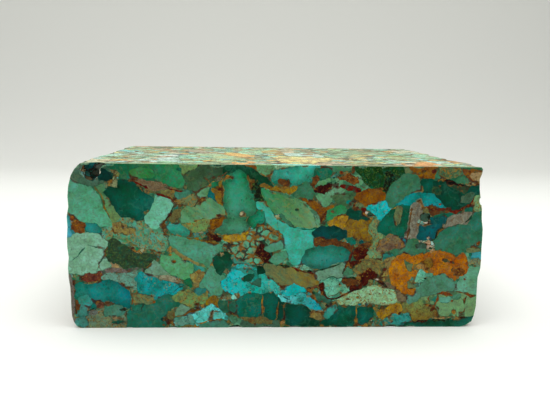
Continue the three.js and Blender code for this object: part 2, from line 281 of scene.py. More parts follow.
    ("clear", "teal_mist", ((-30.8, 14.4), (-29, 15.2), (-27.4, 14.6), (-29.4, 13.2))),
    ("ochre", "olive_gold", ((-26.4, 10.6), (-22.8, 11.9), (-22.4, 8.6), (-21, 6.6), (-23.6, 8.6),
        (-26.4, 8.8))),
    ("crazed", "pale_cyan", ((-34, 5.2), (-29, 6.6), (-25.5, 8.6), (-22.4, 7.4), (-18.6, 3.6),
        (-21.5, 3.6), (-29.8, 1.3), (-31, 4))),
    ("crazed", "haze_mint", ((-38.6, 3.2), (-32.4, 4.6), (-31.6, 1.6), (-38, 1.4))),
    ("cloudy", "grey_sage", ((-38.2, 5), (-36, 8.6), (-33, 6.8), (-36.4, 4.7))),
    ("cloudy", "grey_teal", ((-29, 0.6), (-27.6, 1.8), (-21, 2.3), (-18, -0.5), (-28, -0.5))),
    ("clear", "pale_turquoise", ((-17.6, 4.2), (-15.2, 4.9), (-12.6, 3.4), (-13.2, 0.4), (-16, 0.6))),
    ("crumb", "pale_sage", ((-22.4, 11.8), (-14.6, 13), (-14.4, 11), (-20, 10.8))),
    # The row of dark stones along the bottom.
    ("cloudy", "pine_grey", ((-13, -0.5), (-12.6, 2.4), (0, 2.2), (0.4, -0.5))),
    ("ochre", "olive_brown", ((-14.4, 5.4), (-8, 4.4), (-2, 3), (-2.4, 1.8), (-8.2, 2.1), (-12.4, 3))),
    ("cloudy", "ink_jade", ((-22.2, 10.2), (-15, 10.9), (-15.4, 6.2), (-20.2, 6), (-21.4, 8.2))),
    ("cloudy", "deep_teal", ((-15, 10.8), (-11.6, 12.8), (-5.9, 12.6), (-6.2, 5.4), (-8, 4.4),
        (-14, 5), (-14.8, 6.6))),
    ("clear", "deep_teal", ((-5.7, 12.8), (-1.8, 13.3), (0.2, 10.5), (0, 5), (-1.2, 3), (-4.8, 4.6))),
    ("clear", "ink_pine", ((0.4, 12.4), (2.6, 9.6), (2.8, 3.4), (0.4, 2.8), (0.1, 6))),
    ("clear", "ink_pine", ((3, 8.6), (10.4, 8), (12.8, 5.8), (15.4, 1.8), (15.2, 0.8), (5.6, 0.9),
        (3.4, 2))),
    ("clear", "deep_teal", ((15.6, 0.8), (20, 4), (23.4, 8.4), (29.6, 7.8), (29.9, 5), (29.6, 1))),
    ("clear", "deep_teal", ((30.4, 7), (36, 7.6), (36.2, 4), (33, 1), (30.4, 1))),
    # Upper middle, right of the centre.
    ("clear", "turquoise", ((-3.2, 57.4), (-0.6, 60), (6.5, 61.8), (14.5, 62.5), (13.2, 58),
        (11.4, 55.6), (9.6, 56), (6, 54), (4, 53.8), (0, 56), (-1.5, 54.4))),
    ("chalk", "pale_sage", ((-0.8, 60.6), (5, 61.4), (6, 62.5), (-2, 62.5))),
    ("rust", "dark_umber", ((-0.2, 56), (3, 55.4), (3.4, 54.2), (0.9, 54.8))),
    ("cloudy", "moss", ((14.6, 62.5), (26.8, 62.5), (25.5, 60.2), (22.8, 59.4), (18.8, 60.2))),
    ("cloudy", "pine_teal", ((13.2, 60.2), (17.5, 60.6), (18.6, 59), (16.8, 56.2), (13.8, 56.6))),
    ("cloudy", "jade_grey", ((4.4, 51.2), (9.6, 55.4), (12.2, 52.8), (12.6, 50.8), (11.5, 47.6), (7, 49))),
    ("cloudy", "sage_mint", ((12.6, 52.6), (14.5, 55.6), (22, 57), (28.2, 59.5), (30.5, 56),
        (34.6, 52.6), (28.4, 50.4), (21, 50.6), (18.4, 47.6), (17, 46.4), (14.6, 48.4), (13.2, 51))),
    ("rust", "black_red", ((12.6, 52.9), (18.8, 55.2), (19.2, 54.4), (16.8, 51.6), (13.2, 51.8))),
    ("rust", "umber", ((21.2, 57.2), (25.2, 58.6), (28.8, 56), (28, 55.5), (22.4, 56.4))),
    ("rust", "dark_red", ((22.2, 54.4), (26.8, 54), (30.2, 51.8), (30, 51), (27.2, 52.8), (23.2, 53.6))),
    ("ochre", "dark_umber", ((12, 54.4), (13.6, 57.2), (14.2, 56.4), (13.4, 55))),
    ("rust", "dark_umber", ((26.6, 59.2), (27.6, 62), (28.4, 62), (27.2, 58.6))),
    ("ochre", "olive_gold", ((-6.6, 54.6), (-1.5, 53.3), (4.8, 53.6), (6.8, 53.2), (4.4, 51.2),
        (0, 51.8), (-6, 53.8))),
    ("ochre", "burnt", ((7.2, 49.2), (13, 48.6), (16.4, 46.2), (20.8, 47.4), (17.4, 44.6),
        (15.6, 41), (14.2, 44.6), (11.4, 46.6))),
    ("streaky", "sage_mint", ((-5.5, 52.8), (2, 50.8), (9.6, 47.6), (13.4, 43.4), (15.8, 39.4),
        (14.2, 38.6), (4, 47), (-5.6, 50.8))),
    ("streaky", ("jade", "sage", -10), ((-6.2, 52.4), (4, 49.4), (10, 46.4), (12.6, 42), (14, 38.2),
        (10.5, 37.8), (5.5, 39.2), (0.6, 43.8), (-4, 46.2), (-5.6, 50.8))),
    ("clear", "sea_mint", ((0.6, 43.6), (5.4, 39), (4.4, 38.8), (0, 42.6))),
    ("streaky", "turquoise", ((-7.9, 47.6), (-6, 48), (-2.5, 43.2), (1, 38.4), (-1.5, 38),
        (-4.9, 41.6), (-5, 44.4), (-7.6, 45.2))),
    # The middle of the face, right of the centre.
    ("cloudy", "turquoise", ((-0.5, 41), (4.4, 38.4), (13, 38), (12.6, 36.2), (14, 33.6),
        (12.4, 30.4), (10.6, 29.5), (8.2, 24.6), (5, 25), (3.4, 30), (1.4, 36.6))),
    ("cloudy", "jade", ((16.2, 40), (18.2, 44.6), (23.4, 47.4), (25.2, 44.4), (24.2, 43.2),
        (21.4, 41.4), (17.6, 39.4))),
    ("clear", "ink_pine", ((25.6, 45.2), (28.6, 45.6), (33.8, 41.2), (26.2, 41))),
    ("ochre", "mustard", ((18.6, 40.2), (22.4, 42.8), (24.6, 43), (25.2, 39.6), (23, 38.2))),
    ("ochre", "olive_gold", ((25.4, 40.4), (33.8, 41.4), (33.6, 37), (35.7, 33.8), (35.4, 32.4),
        (30.6, 34.6), (25.2, 35.2), (24.8, 37.2))),
    ("clear", "ink_blue", ((12.6, 36.2), (16, 38.8), (20.6, 39), (24.8, 36.8), (25.2, 35.2),
        (21, 33.6), (14.8, 34.8))),
    ("clear", "sea", ((25, 34.6), (28.2, 34.2), (29, 32.6), (26.4, 32))),
    ("rust", "dark_umber", ((14.2, 34.4), (23.8, 33.4), (28.4, 31.4), (33.6, 33), (33.8, 31.6),
        (28, 28.8), (22.8, 31.2), (14, 31.8))),
    ("cloudy", "fern", ((19.6, 50.2), (27.8, 51.2), (28.6, 49.2), (25.2, 46.4), (21, 48))),
    ("rust", "dark_umber", ((27.4, 47.6), (30.6, 48), (30.4, 45.8), (27.8, 45.8))),
    ("chalk", "lichen", ((28.4, 47.6), (31.4, 47.6), (32.4, 46.2), (29, 46.4))),
    ("rust", "dark_red", ((30.8, 46), (32.2, 45.2), (31.6, 44))),
    ("speckled", "dull_sage", ((34.4, 40.6), (36.4, 42.6), (38.6, 41.8), (36.2, 38), (40, 36),
        (41, 26), (37, 24), (33, 25.6), (33.4, 29.8), (35.8, 32.2), (34, 37.4))),
    ("clear", ("sea_teal", "teal_mist", -90), ((12.8, 30.4), (20, 31.5), (24.8, 30.4), (27.2, 28),
        (26, 25.4), (17, 23), (10.5, 23.4), (9, 25), (10.4, 29.4))),
    ("chalk", "pale_turquoise", ((5.8, 23.6), (9.5, 24), (12.9, 22.2), (8, 22.6))),
    ("streaky", ("lichen", "olive_gold", 25), ((-4.6, 24), (4.4, 23.4), (12.8, 20.6), (15.9, 17.8),
        (14.8, 15.8), (9.4, 14.8), (8.2, 15.6), (4.2, 16.6), (2.4, 15), (-0.8, 18.6), (-4.4, 20.6))),
    ("cloudy", "grey_sage", ((12.8, 21.6), (19.6, 23.4), (24.4, 24.8), (24.4, 20.8), (28.6, 20.2),
        (26, 19.6), (16, 18.2))),
    ("crazed", "pale_turquoise", ((16, 17.6), (19.8, 19.3), (24.2, 18.6), (27.3, 15.2),
        (25.6, 13.6), (20.8, 11.6), (18, 12.6))),
    ("rust", "blood", ((14.4, 14.8), (16.3, 16.8), (17.6, 12.8), (18.6, 11.9), (17.2, 11.8), (15.2, 13.6))),
    ("speckled", "olive_brown", ((27.4, 22.4), (28, 25.6), (33, 27), (38, 26), (41, 23), (40, 19.6),
        (34, 19.6))),
    ("rust", "blood", ((28.6, 31), (31.2, 30.4), (33.6, 30), (31.6, 26.4), (29.4, 26.4), (27.6, 28.6))),
    ("rust", "blood", ((26.8, 25.6), (31, 25.4), (28.6, 23.8), (25.8, 22.6))),
    ("rust", "blood", ((31, 20.6), (34.2, 22.6), (36.4, 21), (37.6, 19.8), (34, 18.6), (32.8, 15.6),
        (27.4, 14.8), (31, 18.4))),
    ("rust", "dark_umber", ((24.8, 18.8), (29.6, 18.6), (30.8, 17.4), (26.4, 16.8))),
    ("cloudy", "moss", ((25.4, 20.9), (26, 23.8), (28, 21))),
    ("crumb", "brown", ((11, 15), (14.6, 16), (15.6, 12.4), (14.6, 10.6), (12, 13.6))),
    ("clear", "grey_teal", ((14.8, 12.6), (19.4, 11.2), (19.8, 10), (15.4, 10.4))),
    ("crazed", "cyan", ((2.6, 15.6), (6, 17), (10.6, 14.2), (8.2, 12.8), (3.8, 11.9), (1.4, 13.6))),
    ("crazed", ("pale_cyan", "azure", 0), ((0.4, 12.6), (4.4, 11.6), (9.4, 13.2), (17, 7.4),
        (16.6, 6.2), (12.6, 8), (9.6, 10), (5.6, 9.6), (1.4, 11))),
    ("ochre", "olive_tan", ((12.6, 5.6), (16.8, 5.6), (16.4, 2.8), (13.4, 4.2))),
    ("clear", "turquoise", ((17.2, 4.2), (18.6, 7.4), (21.6, 8.6), (22, 7.2), (19.2, 3.6))),
    ("speckled", "pale_sage", ((22, 10.8), (28.2, 13.6), (34.2, 15.8), (39.4, 16), (44.8, 15.4),
        (46.4, 12), (46.6, 10.2), (43, 9), (36, 9.4), (28, 8.8), (22.4, 9.8))),
    # Upper right.
    ("dark", "bottle", ((28.4, 62.5), (46.2, 62.5), (47.2, 59.6), (43.2, 55.8), (40, 51.3),
        (37, 52.8), (32.6, 54.2), (28.6, 59.6))),
    ("dark", "black_olive", ((39.2, 59.8), (42, 58), (42.3, 56), (40.2, 52.8), (39.2, 52.6), (38.8, 57))),
    ("ochre", "burnt", ((28, 50), (31.4, 52.2), (36.8, 53), (39.4, 50.6), (35.6, 47.2), (31.4, 47.6))),
    ("crazed", "cyan", ((32.8, 46.4), (35.2, 47.8), (38.4, 48.6), (39.8, 48.2), (41.5, 45.2),
        (38.6, 42), (37.8, 41.8), (36.6, 43.6), (33.2, 45.4))),
    ("cloudy", "lichen", ((45, 62.5), (47.4, 58.6), (49.6, 58.2), (50, 60.4), (48.4, 62.5))),
    ("cloudy", "jade_grey", ((57.4, 62.5), (57.2, 58.2), (56.6, 56.4), (61, 57), (66, 55.6),
        (70.8, 56.6), (76, 57), (76, 62.5))),
    ("speckled", "fern", ((59.6, 61.8), (66.6, 60.6), (68, 58.4), (61.2, 57.4), (58.6, 58.8))),
    ("ochre", "burnt", ((46.4, 62.5), (57.8, 62.5), (58, 60.2), (56.8, 57.2), (55.4, 57),
        (53.4, 57.8), (49, 58.6), (49.4, 60.4))),
    ("cloudy", "jade_grey", ((40, 51.5), (41.5, 54.4), (44.4, 57.2), (48, 58.3), (50.2, 57.9),
        (52, 55.4), (52.3, 53.5), (49, 51), (46.4, 49), (43.4, 47), (41, 46.8), (39.8, 49.5))),
    ("clear", "cyan_deep", ((43.6, 46.9), (46.8, 49.1), (49.4, 51.3), (52, 52.6), (54.2, 51.9),
        (57.6, 51.2), (59.4, 49.4), (60.3, 47.5), (61.9, 46.4), (58, 46.5), (54.2, 47.2), (52.8, 49.2),
        (51.6, 49.2), (49.2, 47.2), (46.2, 46.4))),
    ("clear", "deep_teal", ((52.3, 55.6), (53, 57), (56.6, 56.6), (57.6, 54.4), (56.4, 52.4),
        (52.6, 52.4))),
    ("clear", "ink_pine", ((57, 55.6), (60, 56.8), (64, 56), (70, 54), (74.6, 54.4), (74, 51),
        (71.6, 49), (69.4, 46.8), (66.6, 44.8), (63.6, 45.4), (60.4, 49), (58.6, 51))),
    ("cloudy", "pine_grey", ((68, 50.4), (71.4, 52.4), (73, 51.6), (71, 48.6), (68.2, 48.6))),
    ("dark", "dark_olive", ((57, 53.6), (59.2, 53.6), (59.2, 51.6), (57, 52.4))),
    ("rust", "black", ((60.8, 57), (64.4, 56.1), (68.5, 54.3), (66.4, 54.1), (62.8, 55.3))),
    ("ochre", "dark_olive", ((63, 55), (67, 53.9), (70.2, 54.3), (68.8, 52.4), (65.4, 53.4))),
    ("ochre", "umber", ((67.6, 60.9), (71, 60.4), (75, 59.8), (75, 57.4), (72, 56.6), (69.8, 57.6),
        (68.2, 59.6))),
    ("chalk", "sand", ((71.4, 59), (75.4, 59.4), (74.4, 57), (72, 56.8))),
    ("ochre", "dark_umber", ((54.2, 46.4), (58, 46.2), (63.4, 45.8), (62, 43.9), (59, 43.3), (56.2, 43.6))),
    ("speckled", "olive_brown", ((53.4, 46.4), (54.6, 46.4), (56, 43.4), (54, 42.8), (53.2, 43.6))),
    ("clear", "sea", ((58.6, 42.8), (62.2, 43.8), (66, 44.3), (69.8, 46.2), (73, 47), (73, 45),
        (67.4, 43.4), (62, 41.2), (59, 40.4))),
    ("speckled", "sage", ((72.4, 50.4), (75.4, 51), (76, 46), (74.4, 44.2), (72.6, 45.4))),
    ("cloudy", ("jade_grey", "deep_sea", 90), ((58, 33.4), (60.2, 37), (62, 38.4), (67.2, 40.2),
        (70.6, 41.6), (72.8, 44.4), (77, 44.4), (79, 36), (78.5, 27), (72.6, 29.6), (69, 28.2),
        (65.6, 28), (60.4, 29.9), (57.6, 30.8))),
    ("blade", "stone_grey", ((61.6, 40.6), (64.4, 42.6), (69, 44.1), (72.7, 44.2), (70.2, 40.8),
        (66.6, 40.6), (62.8, 38.8))),
    ("clear", "pine_teal", ((37.2, 38), (38.6, 41.4), (42.6, 45.8), (46, 46.4), (49.4, 46.6),
        (48.6, 41), (47.2, 34.4), (43.2, 35.2), (37.4, 37))),
    ("blade", "lichen", ((43.6, 46.2), (45.3, 45.6), (44.8, 42), (44.2, 40.2), (43.5, 42))),
    ("blade", "stone_grey", ((49.6, 47.2), (52, 48.4), (52.8, 48.6), (53, 43), (52.2, 37.4),
        (51.6, 34.8), (48.4, 34.2), (47.7, 34.4), (48.6, 41.4))),
    ("clear", "petrol", ((52.8, 39.4), (51.8, 35), (54.2, 33.4), (57.2, 33.6), (59.6, 37.4),
        (61.8, 40.6), (62.2, 42.6), (59.6, 42), (56.4, 42), (55.6, 39.8))),
    ("crumb", "stone_grey", ((53, 43), (55.4, 43.2), (56, 40.6), (54, 40.2), (53, 41))),
    ("crumb", "off_white", ((52.4, 33.4), (57.6, 33.2), (58.4, 30.4), (56.8, 29.6), (53.2, 31.6))),
    # Lower right.
    ("cloudy", "jade_grey", ((47.6, 33.6), (51.6, 34.2), (53.2, 31.6), (57, 29.2), (51.4, 27.9),
        (46.8, 28.4), (41.8, 26), (39.4, 28), (42.6, 29.8), (47.4, 31.6))),
    ("clear", "sea_teal", ((39.2, 28.5), (42.4, 28.4), (42.4, 26.2), (40, 26.6))),
    ("clear", "deep_azure", ((44.8, 34.4), (47.4, 34.2), (47.2, 32.2), (44.8, 32.2))),
    ("speckled", "taupe", ((38, 33.8), (40.6, 34.6), (41.6, 35.8), (44.6, 34.2), (47.2, 31.6),
        (42, 30.6), (37, 29.6))),
    ("speckled", "olive_tan", ((40.4, 26.6), (43.4, 26.4), (43, 18), (40, 17), (39, 20), (41, 23))),
    ("cloudy", "taupe", ((39, 18), (43.8, 17), (48.2, 13.8), (49.2, 12.6), (48.6, 9.6), (46.4, 9.8),
        (44.6, 15), (39.4, 16.2))),
    ("cloudy", ("grey_mint", "moss", 0), ((52.2, 15), (55, 16.6), (56.8, 19.2), (61.6, 21.8),
        (65.8, 19.6), (67.6, 18.6), (72, 20), (72, 13), (65.6, 13.3), (58.4, 12.4), (54.8, 11),
        (50, 8.4), (49.2, 12.4))),
    ("cloudy", "mint_grey", ((70.6, 20.6), (71.2, 26), (71, 29), (73.6, 27.4), (78.5, 27), (78, 12),
        (72, 12.8), (68.4, 14.4), (69.6, 19.6))),
    ("ochre", ("amber", "orange", 0), ((46.4, 28.5), (51.4, 27.9), (56, 28.6), (60.2, 29.8),
        (63.8, 28.6), (67.2, 27.6), (70.2, 28.6), (71.8, 25.2), (71, 21.6), (66.8, 18.6), (65, 20.4),
        (61.8, 22), (59, 20.8), (55, 22.4), (52.6, 18.8), (50.6, 20.4), (49.4, 17.6), (50.2, 15.6),
        (52, 15), (51, 13.3), (48, 13.6), (42.8, 17.8), (43, 25.6))),
    ("ochre", "olive_gold", ((55.6, 26.4), (57.6, 27), (58.2, 24.4), (56, 22.6), (55, 24))),
    ("cloudy", "lichen", ((47.2, 26), (50, 24.6), (50.2, 22.2), (47.8, 24.6))),
    ("chalk", "buff", ((52.4, 24), (54, 24.8), (55.4, 24.2), (55.4, 22.8), (52.8, 22.8))),
    ("rust", "umber", ((66, 23), (67.8, 22.6), (70.4, 22), (68.4, 20), (66.6, 20.4))),
    ("crazed", "pale_turquoise", ((54.2, 22.2), (56.2, 20.2), (55.2, 18.1), (52.2, 17.8), (53.4, 21.4))),
    ("clear", "pale_turquoise", ((56.2, 21.2), (58.4, 20.8), (57.6, 19.8), (56, 20))),
    ("clear", "pale_turquoise", ((51.2, 16.8), (53.2, 17.2), (51.6, 16.2))),
    ("cloudy", "lichen", ((49.4, 17.8), (51, 17.2), (52.2, 15.4), (49.8, 15.8))),
    ("clear", "sky", ((73.4, 28.6), (74.4, 29.6), (76.6, 29), (76.3, 27), (73.6, 27))),
    ("rust", "lichen", ((71.8, 30.2), (73.4, 31.4), (76.8, 31), (75.8, 29.6), (72.6, 29.6))),
    ("speckled", "fern_grey", ((72.4, 25.8), (75.4, 26.6), (76.6, 25.6), (75.6, 24.2), (72.8, 24.4))),
    ("cloudy", "sage", ((54.6, 11), (58.4, 12.2), (64, 13.2), (75.8, 12.4), (78, 9), (76, 4.2),
        (64.6, 4.8), (56, 5))),
    ("ochre", ("olive_sage", "olive_gold", -90), ((43, 8.4), (47.4, 9.8), (49.8, 8.5), (53.6, 10.4),
        (58.4, 9.4), (61.4, 4.6), (57.2, 2.8), (53, 2.9), (47.4, 6))),
    ("ochre", "mustard", ((41, 6), (42.6, 8.6), (46.6, 8.6), (46.8, 5.4), (42, 3), (39.2, 3.6),
        (36.6, 7.4))),
    ("clear", "turquoise", ((59, 10.6), (60.6, 12.1), (60.6, 10.2))),
    ("clear", "pale_turquoise", ((62, 11.2), (65.4, 11.4), (66, 10.2), (62.4, 10))),
    ("clear", "pale_turquoise", ((66.4, 11.8), (69.6, 12.4), (68.6, 11.2))),
    ("crazed", "teal_mist", ((40.8, 2.4), (44.8, 5), (47.6, 4.2), (49.4, 5.2), (51.2, 2.8),
        (48.2, 0.8), (43, 0.7))),
    ("clear", ("forest", "deep_sea", 0), ((49.4, 1.6), (54, 1.8), (56.4, 2.4), (64.4, 2.2),
        (70.6, 3.2), (76.5, 4.4), (77, -0.5), (48, -0.5))),
)

# Cracks and veins in the front face: kind, tone, width and course, in millimetres.
FRONT_VEINS = (
    ("ochre", "olive_gold", 0.4, ((-66.6, 53.4), (-64.4, 49.4), (-62.9, 45), (-61.4, 41.6))),
    ("chalk", "off_white", 0.6, ((-71.4, 59.8), (-70.6, 57), (-68, 55.8), (-65.4, 57.2), (-64.4, 59.6))),
    ("rust", "dark_red", 0.5, ((-53.3, 55.6), (-51, 54.4), (-47.5, 52.6))),
    ("rust", "dark_red", 0.5, ((-41.8, 53), (-37, 51.8), (-34, 51.6))),
    ("rust", "dark_red", 0.7, ((-44.5, 50.6), (-40.2, 49.6), (-38.2, 47.3))),
    ("rust", "black_red", 0.5, ((-38.2, 46.5), (-39.2, 44.4), (-41, 41.4), (-43.8, 39.3))),
    ("rust", "rust", 0.4, ((-76.5, 44), (-75, 41.6), (-73.4, 39.4))),
    ("dark", "deep_sea", 0.3, ((-70.9, 31), (-73, 27.8), (-75.8, 26))),
    ("dark", "deep_sea", 0.3, ((-63.6, 28), (-66, 24.5), (-67.2, 21.2))),
    ("dark", "deep_sea", 0.3, ((-69.8, 31.8), (-64.5, 30.4))),
    ("rust", "rust", 0.5, ((-55.2, 15), (-54, 12), (-54.2, 9))),
    ("dark", "black", 0.35, ((-38.8, 14), (-36.8, 15.6), (-35, 16.6))),
    ("dark", "black", 0.4, ((-70.9, 6.4), (-70, 7), (-67.8, 7.8))),
    ("rust", "brown", 0.5, ((-28, 57.5), (-26, 56), (-25.5, 54.6))),
    ("rust", "brown", 0.4, ((-25.5, 55.8), (-22, 57.5), (-19, 58.6))),
    ("ochre", "ochre", 0.7, ((-20.8, 57), (-19, 57.2), (-17.2, 56.9))),
    ("ochre", "ochre", 0.4, ((-7, 58.5), (-5, 57.4), (-4, 57.8), (-2.4, 59))),
    ("rust", "dark_red", 0.5, ((-31.2, 46.3), (-30, 48.2), (-28.6, 49.2), (-26.6, 49.8))),
    ("ochre", "olive_gold", 0.6, ((-34, 34.8), (-29.5, 33.6), (-25.5, 33), (-22, 32.4))),
    ("dark", "forest", 0.3, ((-25.4, 3.2), (-24.6, 5.6), (-23.6, 7.6))),
    ("dark", "forest", 0.3, ((-24.4, 6.6), (-21.6, 6.2))),
    ("ochre", "ochre", 0.4, ((-38, 4.4), (-35, 4.8), (-33, 6.2), (-29, 7))),
    ("ochre", "ochre", 0.4, ((-30, 1.2), (-26, 2.6), (-22.5, 3), (-20.5, 2.6))),
    ("ochre", "brown", 0.35, ((-18.2, 10.6), (-18.4, 8), (-18, 6.2))),
    ("ochre", "ochre", 0.4, ((-5.8, 12.6), (-5.7, 9), (-5.9, 5.4))),
    ("ochre", "ochre", 0.45, ((0.1, 10), (0, 7), (0.1, 3.6))),
    ("ochre", "ochre", 0.45, ((30, 8), (30.1, 5), (30, 1))),
    ("ochre", "ochre", 0.4, ((30, 8.2), (33, 8.6), (36.4, 8.4))),
    ("rust", "dark_red", 0.6, ((17.6, 44.6), (16.6, 42.6), (15.8, 40.6))),
    ("dark", "forest", 0.4, ((5.4, 39), (8, 38.2), (10.5, 37.8), (14, 38.4))),
    ("rust", "dark_red", 0.6, ((33.4, 42.9), (36, 43.4))),
    ("rust", "rust", 0.4, ((29.6, 54.4), (31.6, 53.4))),
    ("dark", "black", 0.8, ((-0.8, 23.8), (0.5, 24), (4.2, 23.6))),
    ("rust", "dark_red", 0.6, ((5, 23.4), (7.5, 22.4), (10.2, 21.4), (12.6, 20.8), (14.4, 19.8))),
    ("dark", "black", 0.4, ((13.6, 22), (17, 22.7), (19.5, 23.6), (23, 24.4))),
    ("rust", "rust", 0.4, ((0, 17.4), (1.4, 15.8), (2.6, 15))),
    ("dark", "black_olive", 0.35, ((18.8, 19.2), (21, 19.7), (24.5, 19.3), (28, 19.5), (31.4, 18))),
    ("rust", "dark_red", 0.3, ((19.4, 12), (21.6, 12.8), (23.2, 13.9))),
    ("rust", "black_red", 0.5, ((17.6, 12.7), (19, 11.5), (20.6, 10.9), (24.4, 12.2), (28.4, 14.4),
        (33, 15.6))),
    ("rust", "hematite", 0.8, ((27.6, 29.4), (27, 26.8), (26, 25), (24.8, 23), (24.2, 21.4), (24.6, 20.8))),
    ("dark", "ink_teal", 0.4, ((2.4, 12), (4.6, 11.2))),
    ("rust", "black_red", 1.0, ((37, 18.6), (38.5, 17.8), (40, 16.8), (41.6, 16))),
    ("rust", "dark_red", 0.9, ((54.6, 46.9), (56.5, 46), (60, 45.6), (61.6, 46), (63.4, 45.9),
        (64.6, 44.9), (66, 44.7), (69.4, 46.4), (71, 47.2), (71.9, 48.6), (72.5, 50))),
    ("dark", "black", 0.5, ((72.6, 44), (72, 42.6), (71, 41.4), (70, 40.8))),
    ("dark", "black", 0.6, ((62.6, 38.8), (61, 38.6), (60, 37.6), (59.2, 36), (58.4, 34.8), (57.4, 33.6))),
    ("ochre", "mustard", 0.5, ((62.4, 38.3), (61.4, 38.1), (60.2, 37), (59.4, 35.8))),
    ("ochre", "brown", 0.6, ((49.3, 46.4), (49, 42), (48.6, 38), (48.2, 34.8))),
    ("ochre", "mustard", 0.4, ((41, 45.4), (42, 45.8), (43.4, 46.4))),
    ("rust", "brown", 0.5, ((68, 14), (72, 12.9), (75.5, 12.3))),
    ("ochre", "rust", 0.9, ((60.8, 12.9), (62.4, 13.4), (65.4, 13.1), (66.6, 12.4))),
    ("ochre", "rust", 0.7, ((61.2, 13), (61, 11), (60.4, 9.2), (59.4, 7.6), (58.6, 6.2))),
    ("ochre", "rust", 0.6, ((55.6, 8.8), (58, 8.6), (60.6, 8.2), (62, 7.4))),
    ("ochre", "rust", 0.5, ((58, 12.4), (57.4, 11), (58.2, 9.8))),
    ("rust", "rust", 0.8, ((71.6, 12.7), (74, 12.1), (75.2, 12.2))),
    ("rust", "brown", 0.6, ((72, 11.8), (71.4, 10.6), (71.8, 9.4))),
    ("rust", "brown", 0.6, ((71.8, 7.4), (71.4, 6), (70.2, 5.2))),
    ("rust", "black_red", 0.9, ((51.8, 2.6), (53, 1.7), (54.4, 2.5), (57.5, 2.5))),
    ("dark", "black", 0.7, ((58.6, 2.5), (61, 2.4), (64, 2.6), (66.6, 3))),
    ("chalk", "tan", 0.5, ((59, 3.4), (62.4, 3.2), (64.5, 3.7), (66.6, 3.4))),
    ("dark", "black", 0.4, ((69.2, 3.8), (70.5, 3.7), (72.8, 3.6))),
    ("dark", "black", 0.35, ((43, 0.2), (46, 0.35), (50, 0.2))),
)

